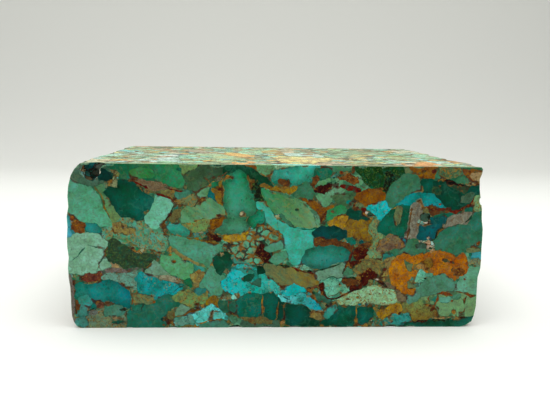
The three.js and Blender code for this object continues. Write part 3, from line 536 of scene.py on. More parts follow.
# Small grains in the front face: kind, tone, middle, and half of the width and height.
FRONT_SPOTS = (
    ("clear", "sea", -36.6, 59.7, 1.0, 0.7), ("rust", "rust", -75, 41.6, 1.1, 1.1),
    ("rust", "rust", -46, 10.2, 0.6, 0.5), ("clear", "ink_blue", -42.5, 3.4, 1.5, 0.9),
    ("rust", "rust", -43, 1.3, 0.6, 0.4), ("rust", "rust", -40.8, 1.6, 0.6, 0.5),
    ("rust", "dark_red", -75, 18, 0.7, 0.6), ("rust", "hematite", -21.9, 52.5, 0.6, 0.6),
    ("chalk", "beige", -13.5, 43.6, 1.0, 0.8), ("rust", "brown", -22, 43.2, 0.7, 0.5),
    ("dark", "black", -25.9, 36, 1.0, 0.8), ("clear", "emerald", -27, 34.4, 0.8, 0.5),
    ("ochre", "ochre", -38.6, 25.5, 0.7, 0.5), ("ochre", "ochre", -40, 28, 0.6, 0.4),
    ("rust", "rust", -30.3, 9, 0.8, 0.6), ("rust", "dark_red", -3.6, 19.2, 0.5, 0.5),
    ("rust", "dark_red", -2, 18.9, 0.4, 0.4), ("dark", "black", 20, 57.2, 0.5, 0.4),
    ("dark", "black", 21.3, 53.9, 0.6, 0.5), ("dark", "black", 20.6, 55.2, 0.4, 0.4),
    ("rust", "rust", 22.5, 58.8, 0.7, 0.6), ("dark", "black", 6.6, 45.1, 0.6, 0.4),
    ("rust", "rust", 19.6, 44.4, 0.7, 0.6), ("clear", "ink_blue", 31, 33.2, 0.9, 0.8),
    ("clear", "teal", 25.5, 48.3, 1.0, 0.8), ("chalk", "off_white", 32.6, 44.2, 0.6, 0.5),
    ("dark", "black", 11.6, 21.7, 0.9, 0.5), ("rust", "dark_red", 23.2, 16.9, 0.5, 0.5),
    ("dark", "black", 13.6, 13.4, 0.6, 0.5), ("rust", "brown", 16.5, 10, 0.7, 0.4),
    ("dark", "deep_teal", 6.8, 12.2, 0.5, 0.4), ("dark", "deep_teal", 9, 10.6, 0.5, 0.4),
    ("clear", "azure", 31.4, 8.9, 0.7, 0.5), ("clear", "azure", 33.9, 8.9, 0.5, 0.5),
    ("chalk", "tan", 1.9, 1.8, 0.8, 0.7), ("ochre", "ochre", 30.3, 12, 0.6, 0.5),
    ("ochre", "ochre", 34.9, 13, 0.5, 0.5), ("ochre", "ochre", 26.6, 11, 0.6, 0.4),
    ("chalk", "off_white", 37.6, 18.7, 0.7, 0.5), ("dark", "black", 53.2, 42.8, 0.5, 0.4),
    ("dark", "black", 54.2, 41.4, 0.9, 0.4), ("dark", "black", 55.7, 42.9, 0.5, 0.5),
    ("chalk", "off_white", 54.7, 40.7, 0.8, 0.4), ("dark", "black", 55, 32.4, 0.9, 0.4),
    ("dark", "black", 57.2, 30.9, 0.9, 0.4), ("chalk", "off_white", 54.2, 31.5, 0.8, 0.5),
    ("chalk", "tan", 57.6, 29.5, 0.6, 0.7), ("chalk", "off_white", 56.2, 34.7, 0.5, 0.4),
    ("rust", "rust", 75.4, 33, 0.7, 0.8), ("dark", "black_olive", 58.8, 52.8, 0.6, 0.5),
    ("dark", "brown", 51.3, 59.1, 0.7, 0.6), ("dark", "brown", 53.4, 59.9, 0.6, 0.5),
    ("dark", "brown", 49.8, 59.3, 0.5, 0.4), ("rust", "hematite", 56.8, 60, 1.0, 0.9),
    ("rust", "dark_red", 63, 26.2, 1.2, 0.7), ("rust", "dark_red", 65.6, 25.6, 0.7, 0.5),
    ("dark", "black", 56, 18.9, 0.5, 0.5), ("rust", "rust", 71, 19, 0.6, 0.4),
    ("dark", "brown", 73.6, 24.4, 0.5, 0.5), ("rust", "brown", 74.8, 23.8, 0.6, 0.5),
    ("rust", "rust", 66.5, 10, 0.5, 0.5), ("rust", "brown", 61, 4.4, 0.7, 0.4),
    ("ochre", "ochre", 67.6, 6, 0.8, 0.9), ("ochre", "orange", 41, 19.4, 1.0, 0.7),
    ("rust", "hematite", 46.6, 5.6, 0.7, 0.6), ("clear", "cyan", 43.5, 2, 0.9, 0.7),
    ("clear", "cyan", 47.8, 1.3, 0.8, 0.5), ("rust", "hematite", 40.2, 22.6, 0.8, 0.6),
    ("dark", "deep_teal", 72.9, 28.6, 0.6, 0.7), ("rust", "rust", 59.8, 47.7, 0.4, 0.3),
)

# The stones in the top face: kind, tone and outline as x and y in millimetres.
TOP_STONES = (
    ("rust", "rust_pink", ((-60, 34), (-54, 38), (-47, 20), (-44, 14), (-50, 15), (-56, 24))),
    ("rust", "brown", ((-38, 42), (-30, 40), (-28, 26), (-33, 24), (-36, 32))),
    ("blade", "purple_grey", ((-44, 34), (-38, 30), (-26, 12), (-25, 4), (-32, 2), (-40, 16))),
    ("cloudy", "turquoise", ((-28, 34), (-22, 38), (-16, 24), (-20, 14), (-26, 18))),
    ("ochre", "ochre", ((-23, -2), (-20, 14), (-15, 6), (-9, -6), (-10, -16), (-18, -10))),
    ("cloudy", "pale_sage", ((-34, 2), (-24, 0), (-16, -18), (-11, -34), (-22, -38), (-30, -14),
        (-34, -8))),
    ("cloudy", "pale_mint", ((-14, 30), (-6, 28), (-4, 8), (-10, 0), (-16, 10))),
    ("ochre", "gold", ((-3, 34), (1, 36), (7, 12), (3, -2), (-4, 10))),
    ("speckled", "tan", ((-2, -4), (6, -10), (22, -14), (24, -26), (16, -44), (6, -50), (1, -36))),
    ("cloudy", "pale_mint", ((6, 12), (20, 6), (22, -10), (10, -12), (6, -4))),
    ("chalk", "grey", ((0, 44), (10, 50), (20, 36), (20, 14), (8, 18))),
    ("blade", "purple_grey", ((13, 34), (19, 36), (22, 14), (15, 12))),
    ("ochre", "brown", ((24, 38), (29, 42), (31, 20), (26, 16))),
    ("cloudy", "moss", ((30, 28), (44, 34), (58, 20), (52, 4), (34, -6), (26, 6))),
    ("speckled", "olive_tan", ((28, -54), (33, -54), (40, -10), (46, 4), (38, 6), (32, -16))),
    ("ochre", "orange", ((46, -54), (62, -54), (60, -20), (56, -16), (50, -34))),
    ("chalk", "beige", ((50, -40), (55, -38), (55, -30), (51, -32))),
    ("speckled", "olive", ((50, -22), (58, -20), (58, 2), (51, 0))),
    ("ochre", "gold", ((64, -26), (69, -24), (68, -14), (64, -16))),
    ("cloudy", "mint", ((60, 10), (74, 14), (76, -8), (66, -12), (60, -4))),
    ("chalk", "grey", ((62, 40), (74, 44), (75, 22), (64, 20))),
    ("clear", "sea", ((-60, -10), (-54, -8), (-54, -22), (-58, -24))),
    ("clear", "teal", ((-41, -10), (-35, -12), (-33, -30), (-38, -28))),
    ("clear", "turquoise", ((-33, -30), (-30, -34), (-28, -50), (-33, -50))),
    ("chalk", "pink_grey", ((13, -50), (18, -52), (22, -38), (18, -36))),
    ("ochre", "orange", ((-17, -53), (-10, -53), (-9, -40), (-16, -36))),
    ("chalk", "grey", ((-78, -54), (-64, -54), (-66, -30), (-78, -24))),
    ("streaky", "pale_turquoise", ((-74, -2), (-62, 4), (-52, -6), (-56, -16), (-72, -18))),
    ("cloudy", "pale_mint", ((-52, -24), (-42, -20), (-38, -40), (-46, -46), (-54, -38))),
)

# The kinds and tones that are scattered over the faces that aren't laid out one by one, each
# with its share.
SCATTER_MIX = (
    (9, "cloudy", "mint"), (7, "cloudy", "pale_mint"), (6, "speckled", "sage"),
    (5, "speckled", "pale_sage"), (5, "clear", "deep_teal"), (4, "clear", "teal"), (4, "clear", "sea"),
    (4, "clear", "azure"), (3, "clear", "cyan"), (3, "clear", "pale_cyan"),
    (5, "streaky", "pale_turquoise"), (4, "cloudy", "moss"),
    (4, "ochre", "ochre"), (3, "ochre", "gold"), (3, "ochre", "orange"), (3, "rust", "hematite"),
    (3, "rust", "rust_pink"), (3, "dark", "dark_olive"), (3, "dark", "forest"), (3, "blade", "grey"),
    (3, "chalk", "chalk_mint"), (2, "chalk", "pink_grey"), (3, "web", "mint"), (3, "speckled", "olive_tan"),
    (3, "cloudy", "deep_sea"), (3, "streaky", "jade"), (3, "cloudy", "turquoise"), (2, "clear", "blue"),
)
VEIN_MIX = (
    (4, "ochre", "ochre"), (3, "rust", "dark_red"), (3, "rust", "brown"), (2, "dark", "black"),
    (2, "ochre", "mustard"),
)

# The kinds that the dust of sawing dulls on the top face.
DUSTY_KINDS = ("clear", "cloudy", "streaky", "crazed")
# How much darker or lighter than its tone a stone may be on each face, and how much of a pale
# tone is blended in. On the top face the stones are lifted far lighter as painted light, and
# the pale blend is partly dust of sawing and partly a painted sheen.
SHADES = {
    "front": (1.0, 1.0, 0.0),
    "back": (0.8, 1.15, 0.0),
    "top": (1.0, 3.4, 0.33),
    "under": (0.8, 1.15, 0.0),
}
# The scattered faces, in millimetres: two corners of the area that is strewn, the area that
# one stone has to itself, and how much larger than the last stones the first ones are.
STREWN = {
    "back": ((-80, -2), (80, 64), 50, 9.5),
    "top": ((-80, -56), (80, 56), 28, 6.0),
    "under": ((-80, -56), (80, 56), 50, 9.5),
}
# The area that one of the small stones of the top face and one vein has to itself.
SMALL_ROOM = 40
VEIN_ROOM = 200
# How far stones lean from level, in degrees.
STONE_LIE = 14
SMALL_LIE = 8
# A scattered stone: least reach in millimetres, height as a share of its width, number of
# corners, their distance from the middle as a share of the reach, how far a corner is off its
# even place, and how quickly the stones get smaller from the first to the last.
LEAST_SIZE = (1.4, 3.2)
SQUATNESS = (0.45, 0.95)
CORNERS = (6, 9)
CORNER_REACH = (0.7, 1.15)
CORNER_SHIFT = 0.28
SHRINKING = 1.3
# A scattered vein: its angle from level and the turn at each stride in radians, the length
# of a stride and the width in millimetres, and the number of strides.
VEIN_HEADING = 0.8
VEIN_TURN = 0.35
VEIN_STRIDE = (1.8, 3.6)
VEIN_STRIDES = (3, 6)
VEIN_WIDTH = (0.3, 0.8)
# A front stone that reaches above this height goes on over the edge, foreshortened.
EDGE_HEIGHT = 61.9
FOLD_DEPTH = 0.8

# The noise that makes outlines uneven: its seed, the levels at which each use reads it, the
# size and strength of the uneven growth, and how finely a vein's swelling reads it.
STRAY_SEED = 1
SHEET_LEVEL = 3.1
FRAY_LEVEL = 7.3
GROWTH_LEVEL = 11.0
GROWTH_SIZE = 5.0
GROWTH_SWING = 1.4
SWELL_LEVEL = 4.0
SWELL_PITCH = 0.9
# How ragged veins and spots are, and the shape of a vein: its half width, how it swells, and
# its width at the tip and gain towards the middle.
THIN_RAGGED = 0.4
HALF_WIDTH = 0.75
MEAN_SWELL = 0.75
SWELL_SWING = 0.9
LEAST_SWELL = 0.35
TIP_WIDTH = 0.35
TIP_SLOPE = 1.2
TIP_LENGTH = 3
# The points inside the stones: seed, place in their cell, clearance as a share of the step,
# and how much wider apart they are on the scattered faces.
FILL_SEED = 5
FILL_PLACE = (0.3, 0.7)
FILL_CLEAR = 0.4
PLAIN_FILL = 1.6
# The seed of the stones' shades, and the lightest that a shaded tone gets.
SHADE_SEED = 9
PALEST = 0.75

# The rough skin, in millimetres: size of its lumps and pits, the pits' share, its fractal's
# dimension, lacunarity and octaves, and the strip along a sawn face over which it fades to
# the least share.
SKIN_LUMPS = 3.0
SKIN_PITS = 1.6
PIT_SHARE = 0.25
SKIN_FRACTAL = (0.9, 2.1, 3)
SKIN_FADE = 2.5
LEAST_FADE = 0.25
# How deep the cast ends reach into the block, how squarely a point and a face look along the
# length to count as an end, and how far in and down the broken corner's hollow reaches.
END_ZONE = 8
END_LEAN = 0.7
SKIN_LEAN = 0.45
HOLLOW_ZONE = (15, 6)
# How near two sides of the block a rim point has to be to lie on an edge.
EDGE_ZONE = (8, 3, 3)
# What the rough skin's points carry: distance from a seam, and, where a point isn't sunk, the
# hollowness that darkens it as painted shade.
FAR_FROM_SEAM = 3.0
RIM_HOLLOW_SHADE = 0.3

# How each kind of stone looks. Sizes are in millimetres, the rest are shares of 1.
# cloud: size and depth of the light and dark areas; hue: how far the colour turns in them;
# fleck: size and depth of the fine mottling; patch: size, share and tone of the stained
# patches; veins: size, share and tone of the hairlines; specks: size, share and tone;
# rough: roughness; ragged: how ragged an outline is; rim: how much darker a border gets; lean
# and stretch: angle in degrees and length of the grain; cells: size of the gravel; joint:
# width and tone of the net between its cells; gravel: share of the cells' own tones.
LOOKS = {
    "clear": dict(rim=0.35, cloud=(7.0, 1.5), hue=0.16, fleck=(1.0, 0.7), patch=(3.0, 0.10, "ink_teal"),
                  veins=(8.0, 0.05, "pale_mint"), specks=(1.4, 0.03, "black"), rough=0.34),
    "crazed": dict(cloud=(4.0, 1.5), hue=0.12, fleck=(0.9, 1.4), patch=(2.2, 0.35, "teal"),
                   veins=(3.5, 0.60, "ink_teal"), specks=(1.1, 0.03, "mustard"), rough=0.40, ragged=1.8),
    "cloudy": dict(cloud=(4.5, 1.3), hue=0.14, fleck=(0.9, 1.3), patch=(2.6, 0.10, "moss"),
                   veins=(7.0, 0.12, "olive_tan"), specks=(1.0, 0.04, "brown"), rough=0.42),
    "speckled": dict(cloud=(3.0, 1.5), hue=0.20, fleck=(0.8, 1.6), patch=(2.0, 0.45, "olive_tan"),
                     veins=(3.6, 0.80, "ochre"), specks=(0.9, 0.30, "brown"), rough=0.48, ragged=2.0),
    "streaky": dict(cloud=(3.0, 1.0), hue=0.14, fleck=(0.9, 0.9), patch=(2.2, 0.30, "moss"),
                    veins=(4.0, 0.45, "olive_tan"), specks=(1.2, 0.02, "forest"), rough=0.40,
                    lean=-42, stretch=4.0),
    "blade": dict(cloud=(2.2, 1.0), hue=0.06, fleck=(0.8, 1.4), patch=(1.6, 0.35, "brown"),
                  veins=(2.4, 0.70, "brown"), specks=(1.2, 0.05, "black"), rough=0.50,
                  lean=82, stretch=6.0),
    "ochre": dict(cloud=(3.6, 1.5), hue=0.08, fleck=(0.8, 1.6), patch=(1.8, 0.55, "umber"),
                  veins=(3.0, 0.50, "hematite"), specks=(1.0, 0.10, "hematite"), rough=0.55, ragged=2.0),
    "rust": dict(cloud=(1.8, 1.8), hue=0.05, fleck=(0.7, 1.6), patch=(1.6, 0.50, "black_red"),
                 veins=(2.6, 0.35, "rust"), specks=(0.9, 0.05, "mustard"), rough=0.55, ragged=2.2),
    "dark": dict(cloud=(1.9, 1.4), hue=0.12, fleck=(0.7, 1.9), patch=(1.5, 0.50, "forest"),
                 veins=(2.6, 0.35, "olive"), specks=(0.8, 0.16, "olive"), rough=0.45, ragged=1.8),
    "chalk": dict(cloud=(2.0, 0.9), hue=0.06, fleck=(0.7, 1.2), patch=(1.8, 0.35, "brown"),
                  veins=(2.4, 0.70, "brown"), specks=(0.8, 0.12, "black_olive"), rough=0.62, ragged=1.8),
    "dusty": dict(cloud=(2.6, 1.1), hue=0.10, fleck=(0.8, 1.5), patch=(1.6, 0.55, "chalk_mint"),
                  veins=(3.0, 0.85, "brown"), specks=(0.9, 0.22, "umber"), rough=0.55, ragged=1.6),
    "web": dict(cloud=(2.6, 0.9), hue=0.07, fleck=(0.7, 1.0), patch=(3.0, 0.47, "blood"),
                veins=(3.0, 0.60, "orange"), specks=(0.9, 0.10, "black_red"), rough=0.48, ragged=2.4,
                cells=2.8, joint=(0.60, "burnt"), gravel=0.0),
    "crumb": dict(cloud=(3.0, 1.8), hue=0.12, fleck=(0.6, 1.8), patch=(1.8, 0.30, "olive_tan"),
                  veins=(3.0, 0.70, "ochre"), specks=(0.8, 0.12, "dark_umber"), rough=0.52, ragged=1.8,
                  cells=1.9, joint=(0.14, "umber"), gravel=0.55),
    "broken": dict(cloud=(2.0, 1.5), hue=0.10, fleck=(0.6, 1.5), patch=(1.6, 0.35, "ink_teal"),
                   veins=(2.6, 0.40, "brown"), specks=(0.7, 0.10, "black"), rough=0.72,
                   cells=4.0, joint=(0.40, "black_olive"), gravel=0.25),
    "crust": dict(cloud=(6.0, 1.2), hue=0.12, fleck=(0.8, 1.4), patch=(3.2, 0.45, "sage"),
                  veins=(3.0, 0.60, "brown"), specks=(0.8, 0.24, "black_olive"), rough=0.72,
                  cells=9.0, joint=(0.50, "umber"), gravel=0.60),
}

# The tones of loose gravel, in the order in which the cells of a gravelly stone pick them.
GRAVEL_TONES = (
    "mint", "deep_sea", "pale_cyan", "olive_gold", "sage", "black_olive", "umber", "sea_mint", "lagoon",
    "maroon", "moss", "amber", "emerald", "beige", "bottle", "pale_turquoise",
)

# Sizes in millimetres of the noises that all kinds share. They lead a pattern astray by so
# many millimetres, a gravel's cells by a share of their size, and a stain's shore in and out.
LUMP_SIZE = 2.2
GATE_SIZE = 4.5
GRIT_SIZE = 0.42
ASTRAY = 1.4
CELL_STRAY = 0.45
SHORE_SWING = 0.7
# How much the noises change lightness, strength of colour and roughness.
GRIT_DEPTH = 0.4
FLECK_STRENGTH = 0.5
FLECK_ROUGHNESS = 0.3
BRUISE_ROUGHNESS = 0.2
# The least and the added width of a contact line and of a net's joints, the width of a
# hairline, and how densely specks cover.
LINE_WIDTH = (0.3, 1.7)
NET_WIDTH = (0.2, 1.6)
HAIRLINE = 0.028
SPECK_COVER = (0.35, 2.0)
# Where each mark begins and where it is full, on the noise or distance that it depends on.
# The edges of stains, nets and bruises are in widths of their line.
BANDS = {
    "patch": (0.52, 0.60),
    "rim": (0.0, 3.0),
    "net_edge": (0.3, 1.0),
    "net_tone": (0.47, 0.55),
    "vein": (0.36, 0.52),
    "speck_edge": (0.20, 0.36),
    "speck": (0.50, 0.60),
    "stain_edge": (0.5, 4.0),
    "stain": (0.56, 0.61),
    "stain_tone": (0.45, 0.55),
    "line_width": (0.42, 0.62),
    "line_edge": (0.4, 1.3),
    "line": (0.44, 0.52),
    "line_tone": (0.45, 0.58),
    "bruise_edge": (0.4, 1.3),
    "bruise": (0.40, 0.55),
}
# How strongly each mark covers the colour below it; the hollow mark is painted shade in the
# sunk rough skin.
COVER = {"net": 0.9, "stain": 0.7, "line": 0.6, "bruise": 0.4, "hollow": 0.45}
# How far each mark stands out of the surface or is sunk in it, in millimetres.
RELIEF = {"grit": 0.014, "fleck": 0.03, "speck": 0.02, "line": 0.05, "vein": 0.02, "net": 0.06}


def from_hex(value):
    """A colour written as 0xRRGGBB, as three shares of 1."""
    return tuple((value >> shift & 255) / 255 for shift in (16, 8, 0))


def linear(colour):
    """The light that a colour as it looks sends back, for each of its three shares."""
    return tuple(c / 12.92 if c <= 0.04045 else ((c + 0.055) / 1.055) ** 2.4 for c in colour)


class TURQUOISE_PG_block(bpy.types.PropertyGroup):
    """Sizes of the block's surface, in millimetres where nothing else is said."""

    outline_step: bpy.props.FloatProperty(
        name="Outline step", description="Spacing of the points along a stone's outline", default=0.45)
    fill_step: bpy.props.FloatProperty(
        name="Fill step", description="Spacing of the points inside the stones", default=1.3)
    plain_step: bpy.props.FloatProperty(
        name="Plain step", description="Outline spacing on the faces that are scattered", default=1.1)
    wander: bpy.props.FloatProperty(
        name="Wander", description="How far an outline strays from its hand-laid course", default=0.6)
    wander_size: bpy.props.FloatProperty(
        name="Wander size", description="Length of one stray of an outline", default=2.6)
    fray: bpy.props.FloatProperty(
        name="Fray", description="Fine raggedness of an outline", default=0.32)
    fray_size: bpy.props.FloatProperty(
        name="Fray size", description="Length of one fine tooth of an outline", default=0.9)
    end_relief: bpy.props.FloatProperty(
        name="End relief", description="Depth of the fine relief on the cast ends", default=0.55)
    chip_relief: bpy.props.FloatProperty(
        name="Chip relief", description="Depth of the fine relief in broken places", default=0.22)
    roundness: bpy.props.FloatProperty(
        name="Roundness", description="How far the corners of an outline are rounded",
        min=0, max=1, default=0.16)
    bruise: bpy.props.FloatProperty(
        name="Bruise", description="Width of the pale line along a sawn edge", default=0.28)
    growth: bpy.props.FloatProperty(
        name="Growth", description="How far the stones reach into the gaps between them", default=0.45)
    contact: bpy.props.FloatProperty(
        name="Contact", description="Width of the stained line where two stones meet", default=0.17)


class TURQUOISE_PG_tones(bpy.types.PropertyGroup):
    """Colours of the stones."""

    __annotations__ = {
        name: bpy.props.FloatVectorProperty(
            name=name.replace("_", " ").capitalize(), description="Colour of a kind of stone, as it looks",
            subtype="COLOR_GAMMA", min=0, max=1, default=from_hex(value))
        for name, value in TONES.items()
    }


class TURQUOISE_PG_stage(bpy.types.PropertyGroup):
    """Camera, light and backdrop."""

    camera_place: bpy.props.FloatVectorProperty(
        name="Camera place", description="Where the camera stands", subtype="TRANSLATION", unit="LENGTH",
        default=(-0.01277, -0.27108, 0.0806))
    camera_turn: bpy.props.FloatVectorProperty(
        name="Camera turn", description="How far the camera turns right, looks down and rolls, in degrees",
        default=(2.954, 8.957, 0.855))
    lens: bpy.props.FloatProperty(
        name="Lens", description="Focal length on a sensor 36 mm wide", default=39.27)
    floor_tone: bpy.props.FloatVectorProperty(
        name="Floor", description="Colour of the floor", subtype="COLOR_GAMMA", min=0, max=1,
        default=(0.95, 0.952, 0.935))
    # Painted shade: the backdrop far behind has a darker colour than the floor.
    wall_shade_tone: bpy.props.FloatVectorProperty(
        name="Wall", description="Colour of the backdrop far behind", subtype="COLOR_GAMMA", min=0, max=1,
        default=(0.79, 0.79, 0.77))
    sky_strength: bpy.props.FloatProperty(
        name="Room light", description="Strength of the light from all round", default=0.44)
    front_power: bpy.props.FloatProperty(
        name="Front light", description="Power of the soft light behind the camera, in watts", default=2.0)
    top_power: bpy.props.FloatProperty(
        name="Top light", description="Power of the soft light overhead, in watts", default=13.0)


def tone(name):
    """A stone colour in linear light."""
    return linear(getattr(bpy.context.scene.turquoise_tones, name))


class Wire:
    """One output of a shader node. Arithmetic on it adds Math nodes."""

    def __init__(self, recipe, socket):
        self.recipe = recipe
        self.socket = socket

    def _math(self, operation, *values):
        return self.recipe.add("ShaderNodeMath", {"operation": operation}, values)

    def __add__(self, other):
        return self._math("ADD", self, other)

    def __radd__(self, other):
        return self._math("ADD", other, self)

    def __sub__(self, other):
        return self._math("SUBTRACT", self, other)

    def __rsub__(self, other):
        return self._math("SUBTRACT", other, self)

    def __mul__(self, other):
        return self._math("MULTIPLY", self, other)

    def __rmul__(self, other):
        return self._math("MULTIPLY", other, self)

    def __truediv__(self, other):
        return self._math("DIVIDE", self, other)

    def __rtruediv__(self, other):
        return self._math("DIVIDE", other, self)


class Recipe:
    """A material's node tree, written as expressions."""

    def __init__(self, name):
        self.material = bpy.data.materials.new(name)
        self.material.use_nodes = True
        self.tree = self.material.node_tree
        self.tree.nodes.clear()

    def add(self, kind, settings, inputs, output=0):
        """Adds a node, sets it up, feeds its sockets, and gives the wire of one output."""
        node = self.tree.nodes.new(kind)
        for name, value in settings.items():
            if name == "stops":
                ramp = node.color_ramp
                while len(ramp.elements) < len(value):
                    ramp.elements.new(1)
                for element, (place, colour) in zip(ramp.elements, value):
                    element.position = place
                    element.color = colour
            elif name == "interpolation" and kind == "ShaderNodeValToRGB":
                node.color_ramp.interpolation = value
            else:
                setattr(node, name, value)
        pairs = inputs.items() if isinstance(inputs, dict) else enumerate(inputs)
        for key, value in pairs:
            if isinstance(value, Wire):
                self.tree.links.new(value.socket, node.inputs[key])
            elif value is not None:
                node.inputs[key].default_value = value
        return Wire(self, node.outputs[output]) if node.outputs else None

    def place(self):
        """Where the point is on the block, in millimetres."""
        spot = self.add("ShaderNodeTexCoord", {}, {}, "Object")
        return self.add("ShaderNodeVectorMath", {"operation": "SCALE"}, {0: spot, "Scale": 1000.0})

    def surface(self, name, output="Fac"):
        """A value that the mesh carries."""
        return self.add("ShaderNodeAttribute", {"attribute_name": name}, {}, output)

    def noise(self, place, size, detail=2.0, output="Fac"):
        """Smooth noise whose lumps are about size apart."""
        sockets = {"Vector": place, "Scale": 1 / size, "Detail": detail}
        return self.add("ShaderNodeTexNoise", {}, sockets, output)

    def cells(self, place, size, feature="F1", output="Distance"):
        """Cells about size apart."""
        sockets = {"Vector": place, "Scale": 1 / size}
        return self.add("ShaderNodeTexVoronoi", {"feature": feature}, sockets, output)

    def ramp(self, value, low, high):
        """0 below low, 1 above high, and smooth between."""
        return self.add("ShaderNodeMapRange", {"interpolation_type": "SMOOTHSTEP"},
                        {"Value": value, "From Min": low, "From Max": high})

    def fade(self, value, low, high):
        """1 below low, 0 above high, and smooth between."""
        return 1 - self.ramp(value, low, high)

    def blend(self, share, first, second):
        """The first colour where share is 0, the second where it is 1."""
        colours = [value if isinstance(value, Wire) else (*value, 1) for value in (first, second)]
        factor, first_colour, second_colour, mixed_colour = 0, 6, 7, 2
        sockets = {factor: share, first_colour: colours[0], second_colour: colours[1]}
        return self.add("ShaderNodeMix", {"data_type": "RGBA"}, sockets, mixed_colour)

    def turned(self, colour, hue, saturation, value):
        """A colour with its hue, strength and lightness changed; 0.5, 1 and 1 leave it as it is."""
        return self.add("ShaderNodeHueSaturation", {}, {
            "Hue": hue, "Saturation": saturation, "Value": value, "Color": colour})

    def line_of(self, place, size, width):
        """1 along the thin winding lines where a noise crosses its middle."""
        off = self.add("ShaderNodeMath", {"operation": "ABSOLUTE"}, [self.noise(place, size, 3.0) - 0.5])
        return self.fade(off, 0.3 * width, width)

    def strayed(self, place, lumps, reach):
        """A place moved by up to reach, by a coloured noise."""
        back = self.add("ShaderNodeVectorMath", {"operation": "SUBTRACT"}, [place, (reach,) * 3])
        inputs = [lumps, (2 * reach,) * 3, back]
        return self.add("ShaderNodeVectorMath", {"operation": "MULTIPLY_ADD"}, inputs)


def slanted(recipe, place, look):
    """The place on which a kind's grain lies, turned and stretched if the kind is streaky."""
    if "lean" not in look:
        return place
    turned = recipe.add("ShaderNodeVectorRotate", {"rotation_type": "Y_AXIS"},
                        {"Vector": place, "Angle": math.radians(look["lean"])})
    return recipe.add("ShaderNodeVectorMath", {"operation": "MULTIPLY"},
                      [turned, (1 / look["stretch"], 1.0, 1.0)])


def gravelly(recipe, look, place, lumps, colour):
    """The colour of a kind with its gravel in it, and how far a point is from the gravel's joints."""
    cell_place = recipe.strayed(place, lumps, CELL_STRAY * look["cells"])
    joint = recipe.cells(cell_place, look["cells"], "DISTANCE_TO_EDGE")
    pick = recipe.cells(cell_place, look["cells"], output="Color")
    count = len(GRAVEL_TONES)
    stops = [(k / count, (*tone(name), 1)) for k, name in enumerate(GRAVEL_TONES)]
    gravel = recipe.add("ShaderNodeValToRGB", {"interpolation": "CONSTANT", "stops": stops}, [pick])
    return recipe.blend(look["gravel"], colour, gravel), joint


def bordered(recipe, colour, seam, lumps, cloud, fleck, gate):
    """The colour with stains and a dark line where stones meet, and the line itself."""
    width = bpy.context.scene.turquoise_block.contact
    shore = seam + (fleck - 0.5) * SHORE_SWING
    stained = recipe.fade(shore, *scaled("stain_edge", width)) * recipe.ramp(gate, *BANDS["stain"])
    stain_tone = recipe.blend(recipe.ramp(cloud, *BANDS["stain_tone"]), tone("ochre"), tone("hematite"))
    colour = recipe.blend(stained * COVER["stain"], colour, stain_tone)
    least, more = LINE_WIDTH
    line_width = (least + more * recipe.ramp(gate, *BANDS["line_width"])) * width
    line = recipe.fade(seam / line_width, *BANDS["line_edge"]) * recipe.ramp(lumps, *BANDS["line"])
    line_tone = recipe.blend(recipe.ramp(gate, *BANDS["line_tone"]), tone("forest"), tone("black_red"))
    return recipe.blend(line * COVER["line"], colour, line_tone), line


def scaled(name, width):
    """The band of a mark's edge, which is given in widths of the mark's line."""
    return [edge * width for edge in BANDS[name]]


